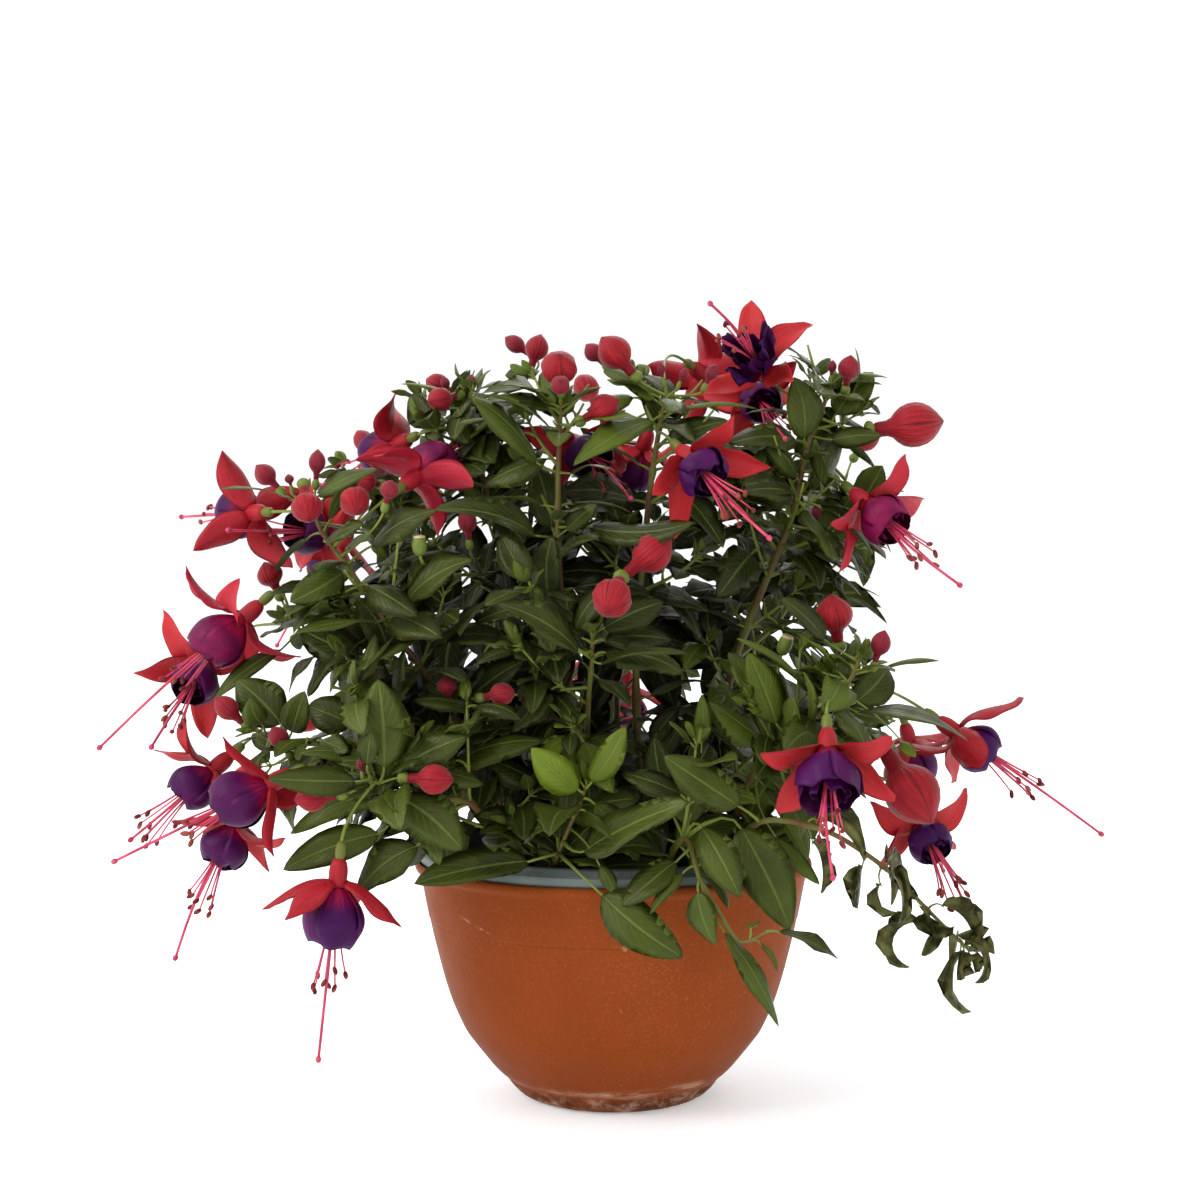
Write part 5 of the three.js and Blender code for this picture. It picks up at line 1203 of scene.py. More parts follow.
def softened(profile, step=1.2):
    """The profile with points added on its longer spans, on the same kind of smooth line as the stems'."""
    profile = np.asarray(profile, float)
    counts = np.maximum(1, spans_of(profile) // step).astype(int)
    shares = np.concatenate([(i + np.arange(n) / n) for i, n in enumerate(counts)] + [[len(counts)]])
    return smooth_line(profile, shares / (len(profile) - 1))


def waves(angle, height, count, seed):
    """A smooth uneven field round a body: a sum of sines of several turns and heights, each with its own
    phase."""
    draw = Draws(seed)
    total = np.zeros(np.broadcast(angle, height).shape)
    for k in range(count):
        turns, rise, phase = round(draw(1, 9)), draw(0.02, 0.12), draw(0, 6.28)
        total += np.sin(turns * angle + rise * height + phase) / (1 + k * 0.3)
    return total / count


def make_bowl(settings):
    """The bowl is a profile turned about Z, and its radius wanders by a fraction of a millimetre. Chips
    are taken off the foot where a second wave is above 0, and they fade by exp(-((z - 6) / 4.2)^2) up and
    down from it."""
    rings = lathe_rings(np.vstack([softened(BOWL_OUTSIDE), BOWL_INSIDE]), settings.sides)
    height = rings[..., 2]
    radius = np.hypot(rings[..., 0], rings[..., 1])
    angle = np.arctan2(rings[..., 1], rings[..., 0])
    wander = waves(angle, height, 6, 31) * settings.roughness / MM
    chips = np.clip(waves(angle * 6, height * 8, 9, 77) + 0.04, 0, 1) * CHIP_DEPTH
    foot = np.exp(-(((height - CHIP_HEIGHT) / CHIP_REACH) ** 2)) * (radius > WALL_RADIUS)
    scale = (radius + wander - chips * foot) / np.maximum(radius, 1e-9)
    rings[..., :2] *= np.where(radius > WALL_RADIUS, scale, 1)[..., None]
    skin = Skin()
    skin.shell(rings)
    skin.make("terracotta_bowl", [terracotta(settings.clay, settings.lime)], ["bowl"])


def make_inner_pot(settings):
    """The grey pot is a profile turned about Z: only its lip shows above the bowl."""
    skin = Skin()
    skin.shell(lathe_rings(np.vstack([softened(POT_OUTSIDE, 2), POT_INSIDE]), settings.sides))
    skin.make("grey_pot", [grey_plastic(settings.plastic, settings.shoulder)], ["inner_pot"])


def make_soil():
    """The soil's top is a shallow dome, h = 120 + 3.5 (1 - (r / R)^2), with products of sines as its
    crumbs."""
    radii = np.linspace(0, 1, 40) ** 0.8 * SOIL_RADIUS
    profile = np.column_stack([radii, 120 + 3.5 * (1 - (radii / SOIL_RADIUS) ** 2)])
    profile = np.vstack([profile, [(SOIL_RADIUS, 116), (95, 100), (83, 60), (40, 40), (0, 38)]])
    rings = lathe_rings(profile, 120)
    x, y = rings[..., 0], rings[..., 1]
    crumbs = np.sin(x * 0.71 + np.sin(y * 0.53) * 2) * np.sin(y * 0.83 + np.sin(x * 0.47) * 2)
    crumbs += 0.6 * np.sin(x * 1.9 + y * 0.4) * np.sin(y * 2.1 - x * 0.7)
    rings[..., 2] += np.where(rings[..., 2] > 118, crumbs * 1.1, 0)
    skin = Skin()
    skin.shell(rings)
    skin.make("peat_soil", [peat()], ["soil"])


# ---- The plan of the small things --------------------------------------------------------------------


def dress_leaf(leaf, draw):
    """Gives a leaf its own fold, cup, wave, tint and age. Tint runs from -1, painted shade on the leaves deep
    inside the plant, by way of 0 to 1 on the others, to 2 on a wilted one, and age from 0 to 1 on the youngest
    and palest."""
    if leaf["branch"]["name"] == "wilted" and leaf["base"][0] > WILTED_FROM:
        leaf.update(fold=draw(1.2, 2.4), cup=draw(0.3, 1.0), wave=draw(0.5, 1.0), beat=draw(9, 16),
                    phase=draw(0, 6), sway=draw(-0.9, 0.9), tint=2.0, age=draw(0, 0.3),
                    curl=leaf["curl"] * 1.6)
        leaf["width"] *= 0.72
        return leaf
    middle = mix(leaf["base"], leaf["tip"], 0.5)
    # Painted shade: the deeper a leaf sits in the plant's mass, the darker its tint and the less of its young
    # colour.
    depth = np.linalg.norm((middle - HULL_CENTRE) / HULL_REACH)
    inner = float(np.clip((0.82 - depth) / 0.45, 0, 1))
    flat = seen(middle)
    pale = max(amount * float(np.hypot(*(flat - (x, y))) < reach) for x, y, reach, amount in YOUNG_PLACES)
    small = np.clip((11 - leaf["width"]) / 9, 0, 0.6)
    age = np.clip(small + draw(-0.35, 0.08), 0, 1) * (1 - 0.6 * inner)
    if middle[1] < HULL_CENTRE[1] and pale:
        age, inner = pale * draw(0.75, 1.1), inner * 0.4
    leaf.update(fold=draw(-0.05, 0.32), cup=draw(-0.4, 0.1), wave=draw(0.06, 0.26), beat=draw(5, 9),
                phase=draw(0, 6), sway=draw(-0.12, 0.12), tint=draw(0, 1) * (1 - inner) - inner,
                age=float(age))
    return leaf


def show_places():
    """What has to show: places in flowers, buds, stems and the large front leaves, with the room that
    each takes up and the patch of the picture in front of it that stays free, in pixels."""
    spots = [(b["mouth"] + 9 * b["axis"], 19, 36) for b in PLANT["blooms"]]
    spots += [(mix(b["mouth"], tip, 0.7), 7, 14) for b in PLANT["blooms"] for tip in b["tips"]]
    spots += [(mix(b["base"], b["tip"], 0.6), b["wide"] + 3, 8 + 1.8 * b["wide"]) for b in PLANT["buds"]]
    listed = [leaf for leaf in PLANT["leaves"] if leaf.get("listed") and leaf["width"] > 12]
    spots += [(mix(leaf["base"], leaf["tip"], share), 2, 14) for leaf in listed for share in (0.25, 0.5, 0.8)]
    bare = [point for name in ("centre", "right", "left") for point in PLANT["branches"][name]["points"]]
    spots += [(point, 0, 9) for point in bare if point[2] > BARE_ABOVE]
    spots += [(place((x, y, OPEN_DEPTH)), 0, wide) for x, y, wide in OPEN_PX]
    spots += [(place(tip), 5, 13) for _, _, tip in PODS]
    return [np.array(column) for column in zip(*spots)]


CENTRES, ROOM, PATCHES = show_places()
PLACES_SEEN = seen(CENTRES)
BOX_LOW, BOX_HIGH = (np.array(corner) / MM for corner in CAD_BOX)


def over_pot(line):
    """Whether a line of points goes through the pot or across the bare front of its bowl."""
    x, y = (seen(line) - POT_FRONT[:2]).T
    crosses = (np.abs(x) < POT_FRONT[2]) & (y > 0) & (line[:, 1] < 0)
    return (crosses | (np.hypot(line[:, 0], line[:, 1]) < POT_ROOM[0]) & (line[:, 2] < POT_ROOM[1])).any()


def stands_clear(base, tip):
    """Whether a leaf keeps out of flowers and buds, doesn't hide what has to show, and keeps clear of the
    pot and within the plant's own box."""
    line = mix(base, tip, STEPS_ALONG)
    gap = np.linalg.norm(line[:, None] - CENTRES, axis=2)
    flat = np.linalg.norm(seen(line)[:, None] - PLACES_SEEN, axis=2)
    hides = (flat < PATCHES) & (line[:, None, 1] < CENTRES[None, :, 1] + 2)
    inside = (line > BOX_LOW + 3).all() and (line < BOX_HIGH - 3).all() and seen(line)[:, 1].min() > CROWN_PX
    return inside and not (gap < ROOM).any() and not hides.any() and not over_pot(line)


def frame_at(line, t):
    """Where a line is at a share t, which way it runs there, and a direction beside it."""
    way = unit(smooth_line(line, min(1, t + 0.01))[0] - smooth_line(line, max(0, t - 0.02))[0])
    return smooth_line(line, t)[0], way, beside(way)


def grow_leaf(branch, root, out, way, lean, length, draw, droop=0.0):
    """A leaf on a short stalk, from a place on a stem that runs along way. It starts towards out and
    leans along the stem. Its upper side faces up and away from the plant's middle. Where it isn't clear
    of what has to show, it is tried again further round the stem, and left out if that doesn't help."""
    for spin in SPIN_TRIES:
        aim = unit(turned(out, way, spin) + way * lean + (0, 0, draw(-0.25, 0.25)))
        base = root + aim * (2.2 + 0.13 * length)
        tip = base + unit(aim + (0, 0, -droop)) * length
        away = unit(np.array([mix(base[0], tip[0], 0.5), mix(base[1], tip[1], 0.5), 0]))
        face = away * draw(0.3, 1.1) + np.array([0, 0, 0.8])
        if stands_clear(base, tip):
            leaf = dict(base=base, tip=tip, face=face, root=root, branch=branch)
            leaf.update(width=length * draw(0.5, 0.6), curl=draw(0.35, 1.0))
            return [dress_leaf(leaf, draw)]
    return []


def tuft(branch, line, draw, size=TUFT_SIZE):
    """The tiny leaves at the growing tip of a stem."""
    leaves = []
    for k in range(TUFT_LEAVES):
        start, way, level = frame_at(line, 1 - 0.014 * k)
        out = turned(level, way, k * 2.4 + draw(-0.3, 0.3))
        leaves += grow_leaf(branch, start, out, way, 1.5 - 0.2 * k, size * (0.6 + 0.16 * k), draw)
    return leaves


def side_shoot(branch, start, out, way, t, draw):
    """A shoot that leaves a stem at share t of it, as its leaves and its line. There is none where it
    would be short or bare, or would cross the pot."""
    length = draw(14, 66) * (1 - 0.62 * t)
    if length < SHORTEST_SHOOT:
        return [], []
    aim = unit(out + way * draw(0.2, 0.8) + (0, 0, 0.25))
    line = bend_line(start, start + aim * 0.6 * length, start + (aim + (0, 0, 0.2)) * length, 6)
    leaves = []
    for k, share in enumerate(SHOOT_SHARES[: 1 + int(length / 21)]):
        spot, way_there, level = frame_at(line, share)
        for sign in (1, -1):
            side = turned(level, way_there, k * 1.57 + draw(-0.3, 0.3)) * sign
            size = draw(32, 50) * (1.1 - 0.35 * share) * (1 - 0.22 * t)
            leaves += grow_leaf(branch, spot, side, way_there, draw(0.3, 0.9), size, draw, draw(0.1, 0.7))
    if len(leaves) < 2 or over_pot(line):
        return [], []
    return leaves + tuft(branch, line, draw), [dict(branch=branch, line=line)]


def side_shoots(branch, draw):
    """The small leaves and side shoots of a stem. At every joint two leaves and up to two shoots start,
    opposite each other and a quarter turn round from the joint below."""
    line = branch["points"]
    first = 0.14 if "root" in branch else 0.08
    joints = max(1, int(spans_of(line).sum() * (0.95 - first) / JOINT_SPACING))
    leaves, shoots = tuft(branch, line, draw), []
    for k in range(joints):
        t = first + (0.95 - first) * (k + 0.5) / joints
        start, way, level = frame_at(line, t)
        for sign in (1, -1):
            out = turned(level, way, k * 1.5 + draw(-0.4, 0.4)) * sign
            lean, length = draw(0.1, 0.7), draw(40, 58) * (1 - 0.36 * t)
            leaves += grow_leaf(branch, start, out, way, lean, length, draw, draw(0.2, 0.9))
            shoot_leaves, shoot = side_shoot(branch, start, out, way, t, draw)
            leaves += shoot_leaves
            shoots += shoot
    return leaves, shoots


def plan_little_things():
    """Leaves and buds too small for the frame, and the look of every leaf."""
    draw = Draws(4242)
    for leaf in PLANT["leaves"]:
        dress_leaf(leaf, draw)
    leaves = []
    for stem, base, tip, width, facing in LITTLE_LEAVES:
        branch = PLANT["branches"][stem]
        base, tip = place([base, tip])
        face, root = np.array(FACING[facing], float), root_on(branch, base - 5 * unit(tip - base))
        leaf = dict(base=base, tip=tip, face=face, root=root, branch=branch, width=width, curl=draw(0.5, 1.2))
        leaves.append(dress_leaf(leaf, draw))
    grown, shoots = [], []
    for branch in PLANT["branches"].values():
        if branch["name"] == "wilted":
            leaves += tuft(branch, branch["points"], draw, WILTED_TUFT_SIZE)
            continue
        found = side_shoots(branch, draw)
        grown += found[0]
        shoots += found[1]
    buds = [plan_bud(bud, PLANT["branches"], 0) for bud in LITTLE_BUDS]
    return leaves + grown, buds, shoots


SMALL_LEAVES, SMALL_BUDS, SHOOTS = plan_little_things()

# ---- Greenery ----------------------------------------------------------------------------------------


def stem_nodes():
    return sorted({branch["node"] for branch in PLANT["branches"].values()})


def on_node(things, node):
    """The things whose stem is in a node of the frame."""
    return [thing for thing in things if thing["branch"]["node"] == node]


def add_stem(skin, branch):
    """A stem's tube, with a swelling r (1 + 0.35 exp(-(d / 3 mm)^2)) at each pair of leaves."""
    reach = spans_of(branch["points"]).sum()
    t = np.linspace(0, 1, int(reach / 3.5) + 6)
    radius = branch["radius"] * (0.98 - 0.6 * t)
    for share in branch["pairs"]:
        radius = radius * (1 + 0.35 * np.exp(-(((t - share) * reach / 3) ** 2)))
    radius = np.append(radius[:-1], 0.5)
    woody = 1.0 if "root" in branch else 0.75
    skin.shell(tube_rings(smooth_line(branch["points"], t), radius, 9), values=(woody, 0))


def add_stalk(skin, start, bend, end, radii, tint, age, steps=11, sides=7):
    """A stalk along a bend: its radius runs through the radii given at even shares of it."""
    line = bend_line(start, bend, end, steps)
    radius = np.interp(np.linspace(0, 1, steps), np.linspace(0, 1, len(radii)), radii)
    skin.shell(tube_rings(line, radius, sides), values=(tint, age))


def add_leaf_stalk(skin, leaf):
    """A leaf's stalk, which rises a little before it reaches the blade."""
    way = unit(leaf["tip"] - leaf["base"])
    span = np.linalg.norm(leaf["base"] - leaf["root"])
    bend = leaf["base"] - way * 0.45 * span + np.array([0, 0, 0.06 * span])
    thick = 0.35 + 0.02 * leaf["width"]
    add_stalk(skin, leaf["root"], bend, leaf["base"] + way * 1.5, [thick * 1.5, thick, thick * 0.8],
              0.5 if leaf["tint"] > 1 else 0.22, 0.15 + 0.85 * leaf["age"], 5, 5)


def add_bloom_stalk(skin, bloom):
    """A flower's stalk and the green ovary between it and the tube."""
    end = bloom["foot"] + bloom["axis"]
    add_stalk(skin, bloom["root"], bloom["bend"], end, [1.1, 0.75, 0.75, 0.9], 0.35, 0.35, 18)
    end = bloom["mouth"] - bloom["axis"] * (BLOOM["tube"] - 0.6)
    skin.shell(spindle_rings(bloom["foot"], end, [0.8, 1.9, 2.6, 2.75, 2.6, 2.2, 1.8], 10), values=(0.4, 0))


def add_bud_stalk(skin, bud):
    """A bud's stalk and its small green ovary."""
    axis = unit(bud["tip"] - bud["base"])
    add_stalk(skin, bud["root"], bud["bend"], bud["base"] - axis * 4, [0.95, 0.65, 0.65, 0.7], 0.35, 0.35, 15)
    swell = 0.34 * bud["wide"] + 0.25
    rings = spindle_rings(bud["base"] - axis * 5.5, bud["base"] + axis * 0.8, swell * (0.25 + EGG), 9)
    skin.shell(rings, values=(0.1, 0.05))


def add_pod(skin, branch, base, tip):
    """A pod on its stalk: an egg with its top cut flat, and a pale rim round the cut."""
    axis = unit(tip - base)
    root = root_on(branch, base - axis * 25)
    add_stalk(skin, root, base - axis * 14, base + axis, [1.1, 0.8, 0.9], 0.3, 0.3, 14)
    skin.shell(spindle_rings(base, tip, [0.9, 2.4, 3.5, 3.9, 3.7, 3.0, 2.7], 12))
    rim = tip + axis * POD_CUT[:, 1:]
    rings = tube_rings(rim[[0, -1]], 1.0, 12)[0] - rim[0]
    skin.shell(rim[:, None] + rings * POD_CUT[:, :1, None], values=(2, 0))


def make_branches(settings):
    """Every branch with its pods, side shoots, leaf stalks, flower stalks and green ovaries."""
    material = stem_skin(settings.stem, settings.bark)
    for node in stem_nodes():
        skin = Skin()
        for branch in PLANT["branches"].values():
            if branch["node"] == node:
                add_stem(skin, branch)
        for stem, base, tip in PODS:
            if PLANT["branches"][stem]["node"] == node:
                add_pod(skin, PLANT["branches"][stem], *place([base, tip]))
        for shoot in on_node(SHOOTS, node):
            radius = np.linspace(1.15, 0.6, len(shoot["line"]))
            skin.shell(tube_rings(shoot["line"], radius, 6), values=(0.3, 0.35))
        for leaf in on_node(PLANT["leaves"] + SMALL_LEAVES, node):
            add_leaf_stalk(skin, leaf)
        for bloom in on_node(PLANT["blooms"], node):
            add_bloom_stalk(skin, bloom)
        for bud in on_node(PLANT["buds"] + SMALL_BUDS, node):
            add_bud_stalk(skin, bud)
        skin.make("branch_" + node.replace("stem_", ""), [material], [node])


def blade_rings(leaf, stations, thick):
    """Rings round a leaf's blade, over its upper side and back under it. Along it, s goes from 0 to 1 on
    an arc that turns by "curl", so that centre(s) lies on a circle through base and tip. Its half width
    is W sin(pi s^0.8)^0.74. Across it, q goes from -1 to 1: a point stands q W off the midrib, lifted by
    fold |q| W + cup q^2 W + a wave along the edge, and the blade is thinnest at its edge."""
    base, tip, curl = leaf["base"], leaf["tip"], leaf["curl"]
    chord = tip - base
    way = unit(chord)
    up = unit(across(leaf["face"], way))
    side = np.cross(way, up)
    radius = np.linalg.norm(chord) / (2 * math.sin(curl / 2))
    s = (1 - np.cos(np.linspace(0, math.pi, stations))) / 2 * 0.5 + np.linspace(0, 1, stations) * 0.5
    turn = curl * (0.5 - s)
    centre = (base + way * (radius * (math.sin(curl / 2) - np.sin(turn)))[:, None]
              + up * (radius * (np.cos(turn) - math.cos(curl / 2)))[:, None])
    out = up * np.cos(turn)[:, None] - way * np.sin(turn)[:, None]
    centre += side * (leaf["sway"] * leaf["width"] * np.sin(math.pi * s))[:, None]
    shape = np.sin(np.pi * s**0.8) ** 0.74
    half = 0.5 * leaf["width"] * np.maximum(shape, 0.02) * (1 + 0.012 * np.cos(np.arange(stations) * math.pi))
    half[-1] = 0
    q = there_and_back(-1, 1, BLADE_POINTS)
    upper = np.arange(len(q)) < BLADE_POINTS
    wave = leaf["wave"] * np.sin(s * leaf["beat"] + leaf["phase"])[:, None] * q * np.abs(q)
    lift = half[:, None] * (leaf["fold"] * np.abs(q) + leaf["cup"] * q**2 + wave)
    body = thick * (1 - 0.75 * np.abs(q)) * np.where(upper, 0.5, -0.5)
    body = body * np.minimum(1, 6 * (1.02 - s))[:, None]
    body[-1] = 0
    rings = centre[:, None] + side * (half[:, None] * q)[..., None] + out[:, None] * (lift + body)[..., None]
    return rings, grid(s[:, None], (q + 1) / 2)


def make_leaves(settings):
    """The leaves of every branch, one piece for each node of the frame. The small ones have fewer rings."""
    materials = [
        leaf_finish("leaf_top", settings.top_dark, settings.top_mid, settings.top_young, settings.top_vein,
                    False),
        leaf_finish("leaf_under", settings.under_dark, settings.under_mid, settings.under_young,
                    settings.under_vein, True),
    ]
    slots = (np.arange(2 * BLADE_POINTS - 2) > BLADE_POINTS - 2).astype(int)
    thick = settings.leaf_thickness / MM
    for node in stem_nodes():
        skin = Skin()
        for leaves, stations in ((on_node(PLANT["leaves"], node), 12), (on_node(SMALL_LEAVES, node), 8)):
            if leaves:
                rings, maps = zip(*(blade_rings(leaf, stations, thick) for leaf in leaves))
                skin.shell(np.array(rings), maps[0], slots, [(leaf["tint"], leaf["age"]) for leaf in leaves])
        skin.make("leaves_" + node.replace("stem_", ""), materials, [node])


# ---- Flowers -----------------------------------------------------------------------------------------

BUD_SHARES = np.array([0, 0.02, 0.08, 0.18, 0.25, 0.32, 0.41, 0.51, 0.61, 0.71, 0.81, 0.89, 0.95, 0.985, 1])
BUD_RADII = np.array([0.2, 0.31, 0.34, 0.35, 0.44, 0.7, 0.93, 1.04, 1.05, 0.97, 0.78, 0.52, 0.26, 0.1, 0])
BUD_SIDES = 16
TUBE_PROFILE = np.array([
    (-13.4, 0.6), (-13.3, 2.1), (-12.6, 3.1), (-11.2, 3.8), (-9.2, 4.4), (-7, 4.7), (-5, 4.7), (-3, 4.6),
    (-1.4, 4.6), (0.2, 4.8), (0.5, 4.4), (-0.4, 3.6), (-4, 2.4), (-7, 0.8),
])
TUBE_SIDES = 24
SEPAL_POINTS = 9  # points across each side of a sepal
PETAL_POINTS = 15


def make_buds(settings):
    """Buds: r = W profile(u) (1 - 0.07 s), where s is 1 in the four seams, at whole quarter turns, and 0
    between."""
    material = bud_finish(dim(settings.crimson, 0.8), between(settings.crimson, settings.coral, 0.42))
    turn = np.arange(BUD_SIDES) / BUD_SIDES
    seam = np.cos(8 * np.pi * turn) ** 6 * (np.cos(8 * np.pi * turn) > 0)
    pinch = 1 - 0.07 * seam * (BUD_SHARES[:, None] > 0.25)
    uv = grid(BUD_SHARES[:, None], np.abs(2 * turn - 1))
    for node in stem_nodes():
        buds = on_node(PLANT["buds"] + SMALL_BUDS, node)
        if not buds:
            continue
        skin = Skin()
        for bud in buds:
            line = bud["base"] + (bud["tip"] - bud["base"]) * BUD_SHARES[:, None]
            rings = tube_rings(line, BUD_RADII * bud["wide"], BUD_SIDES)
            rings = line[:, None] + (rings - line[:, None]) * pinch[..., None]
            skin.shell(rings, uv, values=(bud["wide"], np.clip((7 - bud["wide"]) / 3.5, 0, 1)))
        skin.make("buds_" + node.replace("stem_", ""), [material], [node])


def add_tube(skin, bloom, values):
    """The tube of a flower, turned about its axis."""
    line = bloom["mouth"] + bloom["axis"] * TUBE_PROFILE[:, :1]
    rings = tube_rings(line, 1.0, TUBE_SIDES)
    rings = line[:, None] + (rings - line[:, None]) * TUBE_PROFILE[:, 1][:, None, None]
    round_it = np.abs(2 * np.arange(TUBE_SIDES) / TUBE_SIDES - 1)
    skin.shell(rings, grid(np.linspace(0, 0.1, len(TUBE_PROFILE))[:, None], round_it), values=values)


def sepal_line(bloom, tip, out, v, draw):
    """The middle line of a sepal, from the rim of the tube to its tip: a cubic Bezier line that goes out
    along the tube first and is turned back at the tip."""
    axis = bloom["axis"]
    start = bloom["mouth"] + out * 4.3 - axis * 2.2
    length = np.linalg.norm(tip - start)
    ahead = max(0, unit(tip - start) @ axis)
    first = start + unit(axis * (0.7 - 1.3 * ahead) + out * 0.7) * length * 0.36
    back = unit(unit(tip - first) - axis * draw(0.1, 0.5))
    last = tip - back * length * 0.34
    return (1 - v) ** 3 * start + 3 * (1 - v) ** 2 * v * first + 3 * (1 - v) * v**2 * last + v**3 * tip


def sepal_rings(bloom, width, blunt, draw):
    """Four sepals of one flower. Half width is 3.7 (1 - v)^2.5 + 0.46 W sin(pi v^0.86)^0.9, so that the
    tip is a point. A blunt sepal is widest nearer to its tip. The edges are lifted by cup(v) q^2 towards
    the inside, so that at v = 0 it fits round the tube."""
    v = np.linspace(0, 1, 17)[:, None] ** 0.95
    q = there_and_back(-1, 1, SEPAL_POINTS)
    upper = np.where(np.arange(len(q)) < SEPAL_POINTS, 1, -1)
    rings = []
    for tip in bloom["tips"]:
        out = unit(across(tip - bloom["mouth"], bloom["axis"]))
        side = np.cross(bloom["axis"], out)
        line = sepal_line(bloom, tip, out, v, draw)
        way = unit(np.gradient(line, axis=0))
        inner = bloom["axis"] * (way @ out)[:, None] - out * (way @ bloom["axis"])[:, None]
        twist = draw(-0.3, 0.3) * v
        flat = side * np.cos(twist) + inner * np.sin(twist)
        lifted = inner * np.cos(twist) - side * np.sin(twist)
        belly = np.sin(np.pi * v ** (0.86 + 0.3 * blunt)) ** (0.9 - 0.3 * blunt)
        half = 3.7 * (1 - v) ** 2.5 + 0.46 * width * belly
        half[-1] = 0
        cup = 1.5 * (1 - v) ** 2 + draw(2.0, 4.6) * np.sin(np.pi * v) * np.sqrt(v) + draw(-2.5, 1.0) * v**3
        crease = 0.8 * np.sin(np.pi * v) * (1 - np.abs(q)) ** 2
        ripple = 0.8 * np.sin(v * draw(8, 13) + draw(0, 6)) * q * np.abs(q)
        body = 0.42 * (1 - 0.7 * np.abs(q)) * upper * np.where(v > 0.99, 0, 1)
        lift = (cup * q**2 - crease + ripple) * np.minimum(1, half / 3) + body
        flat_part = line[:, None] + flat[:, None] * (half * q)[..., None]
        rings.append(flat_part + lifted[:, None] * lift[..., None])
    return np.array(rings), grid(v, (q + 1) / 2)


def round_axis(bloom):
    """Two directions square to a bloom's axis and to each other, the first of them towards a sepal."""
    side = unit(across(bloom["tip"] - bloom["mouth"], bloom["axis"]))
    return side, np.cross(bloom["axis"], side)


def add_stamens(skin, bloom, count, draw):
    """Stamens fan out of the mouth: p(t) = mouth + axis L t + out (1.1 + spread t^1.8), and sag by up to
    3 t^2. Each ends in an oval anther that lies across it. The style is one thicker line with a knob."""
    axis, mouth = bloom["axis"], bloom["mouth"]
    side, other = round_axis(bloom)
    t = np.linspace(-0.04, 1, 10)[:, None]
    for k in range(count):
        angle = 2 * math.pi * (k + draw(-0.25, 0.25)) / count
        out = side * math.cos(angle) + other * math.sin(angle)
        length = draw(38, 51)
        spread = draw(3.5, 7.5)
        line = mouth + axis * length * t + out * (1.1 + spread * np.abs(t) ** 1.8)
        line = line + np.array([0, 0, -1]) * draw(0, 3) * np.abs(t) ** 2
        skin.shell(tube_rings(line, np.linspace(0.6, 0.42, 10), 6), slots=2, values=(draw(0, 1), 0))
        end = line[-1]
        lie = unit(unit(end - line[-2]) + turned(side, axis, draw(0, 6)) * 0.8) * 2.4
        anther = spindle_rings(end - lie * 0.6, end + lie * 1.4, 1.25 * EGG, 8)
        skin.shell(anther, slots=3, values=(draw(0, 1), 0))
    reach = np.linalg.norm(bloom["style"] - mouth)
    bow = side * draw(-2.5, 2.5) + other * draw(-2.5, 2.5)
    line = mouth + axis * (reach - 2) * t + bow * np.sin(math.pi * np.clip(t, 0, 1)) * 0.9
    skin.shell(tube_rings(line, np.linspace(0.85, 0.7, 10), 8), slots=2, values=(0.9, 0))
    knob = spindle_rings(bloom["style"] - axis * 3.6, bloom["style"], 1.5 * EGG, 10)
    skin.shell(knob, slots=4, values=(0.9, 0))


def make_flowers(settings):
    """Tube, sepals, stamens and style of each bloom."""
    deep, bright = settings.crimson, settings.coral
    materials = [
        sepal_finish("sepal_back", deep, between(deep, bright, 0.55)),
        sepal_finish("sepal_face", between(deep, bright, 0.35), bright),
        plain_finish("filament", 0xB02A4A, 0xCC4A68, 60.0, 0.45, 0.25),
        plain_finish("anther", 0x5A121C, 0x8E4438, 260.0, 0.75, 0.15),
        plain_finish("stigma", 0xA02440, 0xC4506C, 300.0, 0.5, 0.25),
    ]
    slots = (np.arange(2 * SEPAL_POINTS - 2) < SEPAL_POINTS - 1).astype(int)
    for bloom in PLANT["blooms"]:
        draw = Draws(900 + 37 * int(bloom["name"]))
        gone = BLOOM_LOOKS[bloom["name"]][0]
        blunt = float(bloom["name"] in BLUNT_SEPALS)
        skin = Skin()
        add_tube(skin, bloom, (draw(0, 1), 0.3 * gone))
        rings, uv = sepal_rings(bloom, settings.sepal_width / MM * (1 + 0.15 * blunt), blunt, draw)
        skin.shell(rings, uv, slots, [(draw(0, 1), 0.5 * gone) for _ in rings])
        add_stamens(skin, bloom, settings.stamens, draw)
        skin.make("flower_" + bloom["name"], materials, ["bloom_" + bloom["name"]])


